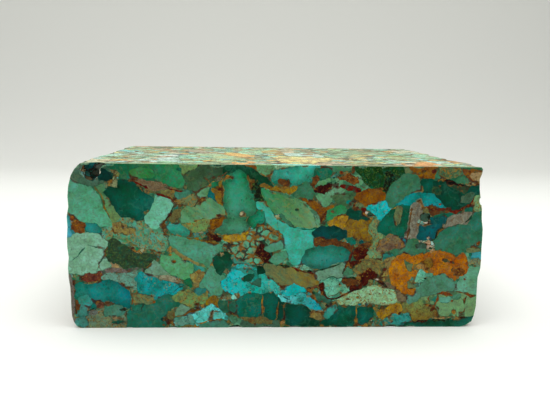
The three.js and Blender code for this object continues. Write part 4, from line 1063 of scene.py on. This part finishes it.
def stone_material(kind, look):
    """The material of one kind of stone."""
    recipe = Recipe("turquoise_" + kind)
    place = recipe.place()
    lumps = recipe.noise(place, LUMP_SIZE, detail=4.0, output="Color")
    astray = recipe.strayed(place, lumps, ASTRAY)
    grain_place = slanted(recipe, astray, look)
    cloud = recipe.noise(grain_place, look["cloud"][0], 3.0)
    fleck = recipe.noise(grain_place, look["fleck"][0], 3.0)
    gate = recipe.noise(place, GATE_SIZE, 2.0)
    grit = recipe.noise(place, GRIT_SIZE, 2.0)
    colour = recipe.surface("tone", "Color")
    joint = None
    if "cells" in look:
        colour, joint = gravelly(recipe, look, place, lumps, colour)
    patch_size, patches, patch_tone = look["patch"]
    patch = recipe.ramp(recipe.noise(astray, patch_size, detail=4.0), *BANDS["patch"])
    colour = recipe.blend(patch * patches, colour, tone(patch_tone))
    seam = recipe.surface("seam")
    deep = 1 - look.get("rim", 0.0) * recipe.fade(seam, *BANDS["rim"])
    light = deep + (cloud - 0.5) * look["cloud"][1] + (fleck - 0.5) * look["fleck"][1]
    light = light + (grit - 0.5) * GRIT_DEPTH
    hue = 0.5 + (cloud - 0.5) * look["hue"]
    strength = 1 + (fleck - 0.5) * FLECK_STRENGTH
    colour = recipe.turned(colour, hue, strength, light)
    if joint is not None:
        joint_size, joint_tone = look["joint"]
        least, more = NET_WIDTH
        net = recipe.fade(joint / (least + more * gate), *scaled("net_edge", joint_size / look["cells"]))
        net_tone = recipe.blend(recipe.ramp(cloud, *BANDS["net_tone"]), tone(joint_tone), tone("black_red"))
        colour = recipe.blend(net * COVER["net"], colour, net_tone)
    vein_size, veins, vein_tone = look["veins"]
    vein = recipe.line_of(astray, vein_size, HAIRLINE) * recipe.ramp(fleck, *BANDS["vein"]) * veins
    colour = recipe.blend(vein, colour, tone(vein_tone))
    speck_size, specks, speck_tone = look["specks"]
    dots = recipe.cells(astray, speck_size)
    speck = recipe.fade(dots, *BANDS["speck_edge"]) * recipe.ramp(gate + 0.5 * specks, *BANDS["speck"])
    least, more = SPECK_COVER
    speck = speck * min(1.0, least + more * specks)
    colour = recipe.blend(speck, colour, tone(speck_tone))
    colour, line = bordered(recipe, colour, seam, lumps, cloud, fleck, gate)
    edge = recipe.surface("arris")
    bruise_edge = scaled("bruise_edge", bpy.context.scene.turquoise_block.bruise)
    bruise = recipe.fade(edge, *bruise_edge) * recipe.ramp(fleck, *BANDS["bruise"])
    colour = recipe.blend(bruise * COVER["bruise"], colour, tone("pale_sage"))
    # Painted shade: the rough skin and broken places are darker where their relief is sunk deeper.
    if kind in ("crust", "broken"):
        colour = recipe.turned(colour, 0.5, 1.0, 1 - recipe.surface("hollow") * COVER["hollow"])
    roughness = look["rough"] + (fleck - 0.5) * FLECK_ROUGHNESS + bruise * BRUISE_ROUGHNESS
    height = grit * RELIEF["grit"] + fleck * RELIEF["fleck"] - speck * RELIEF["speck"]
    height = height - line * RELIEF["line"] - vein * RELIEF["vein"]
    if joint is not None:
        height = height - net * RELIEF["net"]
    bump = recipe.add("ShaderNodeBump", {}, {"Strength": 0.6, "Distance": MM, "Height": height})
    shine = recipe.add("ShaderNodeBsdfPrincipled", {}, {
        "Base Color": colour, "Roughness": roughness, "Normal": bump, "IOR": 1.5,
        "Specular IOR Level": 0.04, "Sheen Weight": 0.08, "Sheen Roughness": 0.35})
    recipe.add("ShaderNodeOutputMaterial", {}, {"Surface": shine})
    return recipe.material


class Sheet:
    """One sawn face: how its own two directions lie on the block."""

    def __init__(self, name, along, up, normal, level):
        self.name = name
        self.along = Vector(along)
        self.up = Vector(up)
        self.normal = Vector(normal)
        self.level = level

    def holds(self, points):
        """Whether all the points lie on this face's plane."""
        return all(abs(point.dot(self.normal) - self.level) < TOUCHING for point in points)

    def flat(self, point):
        """A point of the block on the face's own two directions."""
        return Vector((point.dot(self.along), point.dot(self.up)))

    def solid(self, flat):
        """A point of the face on the block."""
        return self.along * flat[0] + self.up * flat[1] + self.normal * self.level


FRONT = Sheet("front", (1, 0, 0), (0, 0, 1), (0, -1, 0), -BLOCK_LOW.y)
BACK = Sheet("back", (-1, 0, 0), (0, 0, 1), (0, 1, 0), BLOCK_HIGH.y)
TOP = Sheet("top", (1, 0, 0), (0, 1, 0), (0, 0, 1), BLOCK_HIGH.z)
UNDER = Sheet("under", (1, 0, 0), (0, -1, 0), (0, 0, -1), -BLOCK_LOW.z)
SHEETS = (FRONT, BACK, TOP, UNDER)


def strayed(point, level, ragged):
    """A point of an outline moved to where the uneven stone really has it."""
    sizes = bpy.context.scene.turquoise_block
    coarse = noise.noise_vector(Vector((point[0], point[1], level)) / sizes.wander_size)
    fine = noise.noise_vector(Vector((point[0], point[1], level + FRAY_LEVEL)) / sizes.fray_size)
    return (point[0] + sizes.wander * coarse.x + ragged * sizes.fray * fine.x,
            point[1] + sizes.wander * coarse.y + ragged * sizes.fray * fine.y)


def curved(points, step, closed=True):
    """Points about a step apart on the line through the given points, rounded a little at each."""
    count = len(points)
    tight = bpy.context.scene.turquoise_block.roundness
    line = []
    for i in range(count if closed else count - 1):
        if closed:
            a, b, c, d = (points[(i + k) % count] for k in (-1, 0, 1, 2))
        else:
            a, b, c, d = (points[min(max(i + k, 0), count - 1)] for k in (-1, 0, 1, 2))
        pieces = max(1, round(math.dist(b, c) / step))
        for k in range(pieces):
            t = k / pieces
            bend = t * (1 - t)
            share = t * t * (3 - 2 * t)
            weights = (-tight * bend * (1 - t), 1 - share + tight * bend * t,
                       share + tight * bend * (1 - t), -tight * bend * t)
            line.append(tuple(sum(w * p[n] for w, p in zip(weights, (a, b, c, d))) for n in (0, 1)))
    if not closed:
        line.append(points[-1])
    return line


def grown(outline, reach):
    """An outline pushed outwards, so that the stones press against each other."""
    count = len(outline)
    turn = sum(outline[k - 1][0] * outline[k][1] - outline[k][0] * outline[k - 1][1] for k in range(count))
    side = 1 if turn > 0 else -1
    wide = []
    for k, point in enumerate(outline):
        before, after = outline[k - 2], outline[(k + 2) % count]
        run = Vector((after[0] - before[0], after[1] - before[1])).normalized() * side
        uneven = noise.noise(Vector((point[0], point[1], GROWTH_LEVEL)) / GROWTH_SIZE)
        push = reach * (1 + GROWTH_SWING * uneven)
        wide.append((point[0] + run.y * push, point[1] - run.x * push))
    return wide


def vein_outline(width, course, step):
    """The outline of a vein that swells and thins along its course."""
    line = curved(course, step, closed=False)
    left, right = [], []
    for i, point in enumerate(line):
        before, after = line[max(i - 1, 0)], line[min(i + 1, len(line) - 1)]
        run = Vector((after[0] - before[0], after[1] - before[1])).normalized()
        uneven = noise.noise(Vector((point[0] * SWELL_PITCH, point[1] * SWELL_PITCH, SWELL_LEVEL)))
        swell = max(LEAST_SWELL, MEAN_SWELL + SWELL_SWING * uneven)
        taper = min(1.0, TIP_WIDTH + TIP_SLOPE * min(i, len(line) - 1 - i) * step / TIP_LENGTH)
        half = HALF_WIDTH * width * swell * taper
        left.append((point[0] - run.y * half, point[1] + run.x * half))
        right.append((point[0] + run.y * half, point[1] - run.x * half))
    return left + right[::-1]


def spot_outline(x, y, half_width, half_height):
    """The outline of a small rounded grain."""
    corners = 8
    turns = [math.tau * k / corners for k in range(corners)]
    return [(x + half_width * math.cos(turn), y + half_height * math.sin(turn)) for turn in turns]


def picked(rng, mix):
    """One row of a mix, drawn by its share."""
    return rng.choices(mix, [row[0] for row in mix])[0][1:]


def scattered_stones(seed, low, high, count, lie, large):
    """Stones strewn over a face, large ones first, so that they fill it."""
    rng = random.Random(seed)
    stones = []
    for n in range(count):
        reach = large * (1 - n / count) ** SHRINKING + rng.uniform(*LEAST_SIZE)
        squat = rng.uniform(*SQUATNESS)
        lean = math.radians(rng.gauss(0, lie))
        middle = (rng.uniform(low[0], high[0]), rng.uniform(low[1], high[1]))
        corners = rng.randint(*CORNERS)
        outline = []
        for k in range(corners):
            turn = math.tau * (k + rng.uniform(-CORNER_SHIFT, CORNER_SHIFT)) / corners
            span = reach * rng.uniform(*CORNER_REACH)
            x, y = span * math.cos(turn), span * squat * math.sin(turn)
            outline.append((middle[0] + x * math.cos(lean) - y * math.sin(lean),
                            middle[1] + x * math.sin(lean) + y * math.cos(lean)))
        kind, name = picked(rng, SCATTER_MIX)
        stones.append((kind, name, outline))
    return stones


def scattered_veins(seed, low, high, count):
    """Thin veins strewn over a face."""
    rng = random.Random(seed)
    veins = []
    for _ in range(count):
        point = Vector((rng.uniform(low[0], high[0]), rng.uniform(low[1], high[1])))
        heading = rng.uniform(-VEIN_HEADING, VEIN_HEADING) + math.pi * rng.randint(0, 1)
        course = []
        for _ in range(rng.randint(*VEIN_STRIDES)):
            course.append((point.x, point.y))
            heading += rng.gauss(0, VEIN_TURN)
            point = point + Vector((math.cos(heading), math.sin(heading))) * rng.uniform(*VEIN_STRIDE)
        kind, name = picked(rng, VEIN_MIX)
        veins.append((kind, name, rng.uniform(*VEIN_WIDTH), course))
    return veins


def folded_stones():
    """The stones that reach the front's upper edge, carried over it on to the top face."""
    stones = []
    for kind, name, outline in FRONT_STONES:
        if max(point[1] for point in outline) > EDGE_HEIGHT:
            folded = [(x, BLOCK_LOW.y + (BLOCK_HIGH.z - z) * FOLD_DEPTH) for x, z in outline]
            stones.append((kind, name, folded[::-1]))
    return stones


def laid_stones(sheet):
    """The stones of one face, lowest first: kind, tone and outline."""
    sizes = bpy.context.scene.turquoise_block
    place = SHEETS.index(sheet)
    if sheet is FRONT:
        step = sizes.outline_step
        stones, veins, spots = FRONT_STONES, FRONT_VEINS, FRONT_SPOTS
    else:
        step = sizes.plain_step
        low, high, room, large = STREWN[sheet.name]
        area = (high[0] - low[0]) * (high[1] - low[1])
        stones = scattered_stones(10 * place + 1, low, high, round(area / room), STONE_LIE, large)
        if sheet is TOP:
            stones += TOP_STONES
            stones += scattered_stones(10 * place + 3, low, high, round(area / SMALL_ROOM), SMALL_LIE, 0.0)
            stones += folded_stones()
            stones = [("dusty" if kind in DUSTY_KINDS else kind, *rest) for kind, *rest in stones]
        veins, spots = scattered_veins(10 * place + 2, low, high, round(area / VEIN_ROOM)), ()
    thin = [(kind, name, vein_outline(width, course, step)) for kind, name, width, course in veins]
    thin += [(kind, name, curved(spot_outline(*spot), step)) for kind, name, *spot in spots]
    level = SHEET_LEVEL * place
    laid = []
    for kind, name, outline in stones:
        line = grown(curved(outline, step), sizes.growth)
        ragged = LOOKS[kind].get("ragged", 1.0)
        laid.append((kind, name, [strayed(point, level, ragged) for point in line]))
    for kind, name, outline in thin:
        laid.append((kind, name, [strayed(point, level, THIN_RAGGED) for point in outline]))
    return laid


def inside(points, edges):
    """Which points lie inside the loops that the edges make, as an array of true and false."""
    odd = np.zeros(len(points), dtype=bool)
    for (x1, y1), (x2, y2) in edges:
        if y1 == y2:
            continue
        spans = (points[:, 1] < y1) != (points[:, 1] < y2)
        cross = x1 + (points[:, 1] - y1) * (x2 - x1) / (y2 - y1)
        odd ^= spans & (points[:, 0] < cross)
    return odd


def within(points, outline):
    """Which points lie inside a closed outline, looking only at those in its box."""
    ring = np.array(outline)
    near = ((points >= ring.min(0)) & (points <= ring.max(0))).all(1)
    found = np.zeros(len(points), dtype=bool)
    if near.any():
        loop = list(zip(outline, outline[1:] + outline[:1]))
        found[near] = inside(points[near], loop)
    return found


class Shell:
    """The block's surface while it is put together: points, faces, and what each of them carries."""

    def __init__(self):
        self.points = []
        self.faces = []
        self.kinds = []
        self.tones = []
        self.seams = []
        self.hollow_shades = []
        self.smooth = []
        self.rims = []

    def add_face(self, corners, kind, colours, smooth):
        """Adds one face with the colour at each of its corners."""
        self.faces.append(corners)
        self.kinds.append(kind)
        self.tones.extend(colours)
        self.smooth.append(smooth)


def tree_of(points):
    """A tree that finds the nearest of some points."""
    tree = kdtree.KDTree(len(points))
    for k, point in enumerate(points):
        tree.insert(Vector(point).to_3d(), k)
    tree.balance()
    return tree


def tones_at(name, outline, shade, dust):
    """A function that gives a stone's colour at a place on its face."""
    first, second, angle = name if isinstance(name, tuple) else (name, name, 0)
    first, second = (np.minimum(PALEST, np.array(tone(each)) * shade) for each in (first, second))
    # The pale tone is partly dust of sawing and partly a painted sheen.
    pale = np.array(tone("dust"))
    first, second = (each + (pale - each) * dust for each in (first, second))
    run = np.array((math.cos(math.radians(angle)), math.sin(math.radians(angle))))
    spread = np.array(outline) @ run
    low, high = spread.min(), spread.max()

    def colour_at(place):
        share = min(1.0, max(0.0, (np.dot(place, run) - low) / (high - low)))
        return tuple(first + (second - first) * share)

    return colour_at


def fill_points(points, flat_rim, fill):
    """Points a fill step apart inside the rim, clear of the points that are there already."""
    taken = tree_of(points)
    low, high = np.array(flat_rim).min(0), np.array(flat_rim).max(0)
    rng = random.Random(FILL_SEED)
    added = []
    for i in range(int((high[0] - low[0]) / fill)):
        for j in range(int((high[1] - low[1]) / fill)):
            x = low[0] + fill * (i + rng.uniform(*FILL_PLACE))
            y = low[1] + fill * (j + rng.uniform(*FILL_PLACE))
            if taken.find((x, y, 0))[2] > FILL_CLEAR * fill:
                added.append((x, y))
    return added


def seams_of(places, corners, owner, kept):
    """A tree of the points where stones of different owners meet."""
    meets = {}
    for face in kept:
        for corner in corners[face]:
            meets.setdefault(corner, set()).add(owner[face])
    return tree_of([places[corner] for corner, owners in meets.items() if len(owners) > 1])


def inlay(shell, sheet, rim_points, rim_edges):
    """Fills one sawn face with its stones. The rim is the face's boundary on the shell."""
    flat_rim = [tuple(sheet.flat(shell.points[k])) for k in rim_points]
    number = {k: n for n, k in enumerate(rim_points)}
    points = list(flat_rim)
    edges = [(number[a], number[b]) for a, b in rim_edges]
    rim_lines = [(flat_rim[a], flat_rim[b]) for a, b in edges]
    laid = []
    shade = random.Random(SHADE_SEED)
    # On the top face the shade range lifts the stones far lighter, as painted light.
    darkest, lightest, dust = SHADES[sheet.name]
    for kind, name, outline in laid_stones(sheet):
        start = len(points)
        points += outline
        edges += [(start + k, start + (k + 1) % len(outline)) for k in range(len(outline))]
        laid.append((kind, tones_at(name, outline, shade.uniform(darkest, lightest), dust), outline))
    fill = bpy.context.scene.turquoise_block.fill_step * (1 if sheet is FRONT else PLAIN_FILL)
    points += fill_points(points, flat_rim, fill)
    cut = delaunay_2d_cdt([Vector(point) for point in points], edges, [], 0, MERGED)
    made, _, triangles, origins = cut[:4]
    places = np.array([tuple(p) for p in made])
    corners = np.array(triangles)
    middles = places[corners].mean(1)
    kept = np.flatnonzero(inside(middles, rim_lines))
    owner = np.full(len(middles), -1)
    for n, (_, _, outline) in enumerate(laid):
        owner[within(middles, outline)] = n
    seam_tree = seams_of(places, corners, owner, kept)
    index = {}
    for k, sources in enumerate(origins):
        old = [s for s in sources if s < len(rim_points)]
        if old:
            index[k] = rim_points[old[0]]
    base_tone = tone("jade_grey")
    for face in kept:
        kind, colour_at = laid[owner[face]][:2] if owner[face] >= 0 else ("crumb", lambda place: base_tone)
        numbers = []
        for corner in corners[face]:
            if corner not in index:
                index[corner] = len(shell.points)
                shell.points.append(sheet.solid(places[corner]))
                shell.seams.append(seam_tree.find((*places[corner], 0))[2])
                shell.hollow_shades.append(0.0)
            numbers.append(index[corner])
        shell.add_face(numbers, kind, [colour_at(places[corner]) for corner in corners[face]], False)


def cut_up(bm, faces):
    """Cuts faces up finely enough to carry the relief of the rough skin."""
    edges = [edge for edge in bm.edges if any(face in faces for face in edge.link_faces)]
    bmesh.ops.subdivide_edges(bm, edges=edges, cuts=2, use_grid_fill=True)
    bmesh.ops.triangulate(bm, faces=[face for face in bm.faces if len(face.verts) > 3])
    bm.normal_update()


def sheet_of(face):
    """The sawn face that a mesh face lies on, or None."""
    for sheet in SHEETS:
        if sheet.holds([vert.co for vert in face.verts]):
            return sheet
    return None


def on_edge(point):
    """Whether a point lies along one of the block's edges, rather than round a pit in a face."""
    near = [min(point[k] - BLOCK_LOW[k], BLOCK_HIGH[k] - point[k]) < EDGE_ZONE[k] for k in range(3)]
    return sum(near) > 1


def sink_skin(bm, rough):
    """Sinks the relief into the rough faces. Gives how deep each moved point lies, as a share of 1, for
    painted shade.
    """
    sizes = bpy.context.scene.turquoise_block
    loose = [vert for vert in bm.verts if all(face in rough for face in vert.link_faces)]
    bmesh.ops.smooth_vert(bm, verts=loose, factor=0.5, use_axis_x=True, use_axis_y=True, use_axis_z=True)
    bm.normal_update()
    sunk = {}
    for vert in loose:
        place = vert.co.copy()
        on_end = abs(vert.normal.x) > END_LEAN and abs(place.x) > BLOCK_HIGH.x - END_ZONE
        lumps = 0.5 + 0.5 * noise.fractal(place / SKIN_LUMPS, *SKIN_FRACTAL)
        pits = noise.cell(place / SKIN_PITS)
        deep = sizes.end_relief if on_end else sizes.chip_relief
        margin = min(place.z, BLOCK_HIGH.z - place.z, BLOCK_HIGH.y - abs(place.y))
        fade = min(1.0, margin / SKIN_FADE + LEAST_FADE)
        depth = deep * fade * max(0.0, lumps + PIT_SHARE * pits)
        sunk_place = place - vert.normal * depth
        vert.co = [min(max(sunk_place[k], BLOCK_LOW[k]), BLOCK_HIGH[k]) for k in range(3)]
        sunk[vert.index] = min(1.0, lumps)
    return sunk


def block_shell():
    """The block's whole surface, in millimetres: rough faces cut fine, sawn faces inlaid."""
    noise.seed_set(STRAY_SEED)
    bm = bmesh.new()
    bm.from_mesh(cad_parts["turquoise_block"].data)
    for vert in bm.verts:
        vert.co = vert.co * 1000
    bmesh.ops.remove_doubles(bm, verts=bm.verts, dist=TOUCHING)
    cut_up(bm, {face for face in bm.faces if sheet_of(face) is None})
    rough = [face for face in bm.faces if sheet_of(face) is None]
    sunk = sink_skin(bm, set(rough))
    shell = Shell()
    bm.verts.index_update()
    shell.points = [vert.co.copy() for vert in bm.verts]
    shell.seams = [FAR_FROM_SEAM] * len(shell.points)
    # How hollow each point is, which the rough skin's materials paint as shade.
    shell.hollow_shades = [sunk.get(k, RIM_HOLLOW_SHADE) for k in range(len(shell.points))]
    # The broken faces in the corner's hollow get a darker tone, as painted shade.
    crust_tone, broken_tone, shaded_hollow_tone = tone("pink_grey"), tone("grey_teal"), tone("ink_blue")
    for face in rough:
        middle = face.calc_center_median()
        x = abs(middle.x)
        on_end = abs(face.normal.x) > SKIN_LEAN and x > BLOCK_HIGH.x - END_ZONE
        in_hollow = x > BLOCK_HIGH.x - HOLLOW_ZONE[0] and middle.z > BLOCK_HIGH.z - HOLLOW_ZONE[1]
        kind = "crust" if on_end else "broken"
        colour = crust_tone if on_end else shaded_hollow_tone if in_hollow else broken_tone
        shell.add_face([vert.index for vert in face.verts], kind, [colour] * len(face.verts), True)
    for sheet in SHEETS:
        region = {face for face in bm.faces if sheet_of(face) is sheet}
        rim = [edge for edge in bm.edges if sum(face in region for face in edge.link_faces) == 1]
        rim_points = sorted({vert.index for edge in rim for vert in edge.verts})
        shell.rims += [k for k in rim_points if on_edge(shell.points[k])]
        inlay(shell, sheet, rim_points, [tuple(vert.index for vert in edge.verts) for edge in rim])
    bm.free()
    return shell


def finished_mesh(shell):
    """The shell as a mesh in metres that carries its stones' colours and borders."""
    mesh = bpy.data.meshes.new("compressed_turquoise")
    mesh.from_pydata([point * MM for point in shell.points], [], shell.faces)
    kinds = sorted(set(shell.kinds))
    for kind in kinds:
        mesh.materials.append(stone_material(kind, LOOKS[kind]))
    mesh.polygons.foreach_set("material_index", [kinds.index(kind) for kind in shell.kinds])
    mesh.polygons.foreach_set("use_smooth", shell.smooth)
    tones = mesh.attributes.new("tone", "FLOAT_COLOR", "CORNER")
    tones.data.foreach_set("color", [value for colour in shell.tones for value in (*colour, 1.0)])
    rim_tree = tree_of([shell.points[k] for k in shell.rims])
    values = {
        "seam": shell.seams,
        "hollow": shell.hollow_shades,
        "arris": [rim_tree.find(point)[2] for point in shell.points],
    }
    for name, numbers in values.items():
        layer = mesh.attributes.new(name, "FLOAT", "POINT")
        layer.data.foreach_set("value", numbers)
    mesh.update()
    return mesh


class TURQUOISE_OT_block(bpy.types.Operator):
    """Make the block with its inlaid sawn faces, rough cast ends and broken places"""

    bl_idname = "turquoise.block"
    bl_label = "Make the block"

    def execute(self, context):
        shell = block_shell()
        piece = bpy.data.objects.new("compressed_turquoise", finished_mesh(shell))
        context.scene.collection.objects.link(piece)
        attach(piece, "root")
        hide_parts("turquoise_block")
        return {"FINISHED"}


def backdrop_mesh():
    """A floor that bends up into a backdrop well behind the block."""
    front, back, bend, top, wide = -2.5, 0.55, 0.35, 2.2, 3.0
    pieces, piece_turn = 15, 6
    profile = [(front, 0.0), (back, 0.0)]
    profile += [(back + bend * math.sin(turn), bend - bend * math.cos(turn))
                for turn in (math.radians(piece_turn * k) for k in range(1, pieces + 1))]
    profile += [(back + bend, top)]
    points = [(side * wide, y, z) for y, z in profile for side in (-1, 1)]
    faces = [(2 * k, 2 * k + 1, 2 * k + 3, 2 * k + 2) for k in range(len(profile) - 1)]
    mesh = bpy.data.meshes.new("backdrop")
    mesh.from_pydata(points, [], faces)
    mesh.polygons.foreach_set("use_smooth", [True] * len(faces))
    return mesh


def backdrop_material(settings):
    """Plain matt paper, painted a little darker towards the back as painted shade."""
    recipe = Recipe("backdrop_paper")
    spot = recipe.add("ShaderNodeTexCoord", {}, {}, "Object")
    far_shade = recipe.ramp(recipe.add("ShaderNodeSeparateXYZ", {}, [spot], "Y"), 0.15, 1.0)
    colour = recipe.blend(far_shade, linear(settings.floor_tone), linear(settings.wall_shade_tone))
    shine = recipe.add("ShaderNodeBsdfPrincipled", {}, {
        "Base Color": colour, "Roughness": 0.9, "Specular IOR Level": 0.1})
    recipe.add("ShaderNodeOutputMaterial", {}, {"Surface": shine})
    return recipe.material


def soft_light(name, place, aim, size, power):
    """A square soft light that points at a place."""
    data = bpy.data.lights.new(name, "AREA")
    data.shape = "RECTANGLE"
    data.size, data.size_y = size
    data.energy = power
    light = bpy.data.objects.new(name, data)
    light.location = place
    light.rotation_euler = (Vector(aim) - Vector(place)).to_track_quat("-Z", "Y").to_euler()
    bpy.context.scene.collection.objects.link(light)


class TURQUOISE_OT_stage(bpy.types.Operator):
    """Make the pale floor and backdrop, the soft lights and the camera"""

    bl_idname = "turquoise.stage"
    bl_label = "Make the stage"

    def execute(self, context):
        settings = context.scene.turquoise_stage
        backdrop = bpy.data.objects.new("backdrop", backdrop_mesh())
        backdrop.data.materials.append(backdrop_material(settings))
        context.scene.collection.objects.link(backdrop)
        soft_light("top_light", place=(0.0, -0.05, 1.0), aim=(0, 0, 0), size=(1.6, 1.2),
                   power=settings.top_power)
        soft_light("front_light", place=(-0.25, -0.9, 0.55), aim=(0, 0, 0.03), size=(1.2, 0.8),
                   power=settings.front_power)
        world = bpy.data.worlds.new("studio")
        world.use_nodes = True
        room_tint = (0.97, 1.0, 0.98, 1)
        room = world.node_tree.nodes["Background"].inputs
        room["Color"].default_value = room_tint
        room["Strength"].default_value = settings.sky_strength
        context.scene.world = world
        context.scene.view_settings.view_transform = "Standard"
        self.make_camera(context, settings)
        return {"FINISHED"}

    def make_camera(self, context, settings):
        """Stands the camera where the photograph was taken."""
        data = bpy.data.cameras.new("camera")
        data.lens = settings.lens
        data.sensor_width = 36
        data.clip_start = 0.01
        camera = bpy.data.objects.new("camera", data)
        turn, down, roll = (math.radians(angle) for angle in settings.camera_turn)
        ahead = Vector((math.sin(turn) * math.cos(down), math.cos(turn) * math.cos(down), -math.sin(down)))
        right = Vector((math.cos(turn), -math.sin(turn), 0))
        up = right.cross(ahead)
        level = right * math.cos(roll) + up * math.sin(roll)
        upright = up * math.cos(roll) - right * math.sin(roll)
        rows = [(level[k], upright[k], -ahead[k], settings.camera_place[k]) for k in range(3)]
        camera.matrix_world = Matrix((*rows, (0, 0, 0, 1)))
        context.scene.collection.objects.link(camera)
        context.scene.camera = camera


class TURQUOISE_PT_panel(bpy.types.Panel):
    """Lists what this script can make"""

    bl_idname = "TURQUOISE_PT_panel"
    bl_label = "Compressed turquoise"
    bl_space_type = "VIEW_3D"
    bl_region_type = "UI"
    bl_category = "Stone"

    def draw(self, context):
        for operator in (TURQUOISE_OT_block, TURQUOISE_OT_stage):
            self.layout.operator(operator.bl_idname)
        for group_name in GROUPS:
            group = getattr(context.scene, group_name)
            box = self.layout.box()
            for name in group.__annotations__:
                box.prop(group, name)


GROUPS = {
    "turquoise_block": TURQUOISE_PG_block,
    "turquoise_tones": TURQUOISE_PG_tones,
    "turquoise_stage": TURQUOISE_PG_stage,
}
CLASSES = (*GROUPS.values(), TURQUOISE_OT_block, TURQUOISE_OT_stage, TURQUOISE_PT_panel)


def register():
    for entry in CLASSES:
        bpy.utils.register_class(entry)
    for name, group in GROUPS.items():
        setattr(bpy.types.Scene, name, bpy.props.PointerProperty(type=group))


def unregister():
    for name in GROUPS:
        delattr(bpy.types.Scene, name)
    for entry in reversed(CLASSES):
        bpy.utils.unregister_class(entry)


def main():
    register()
    bpy.ops.turquoise.block()
    bpy.ops.turquoise.stage()


if __name__ == "__main__":
    main()
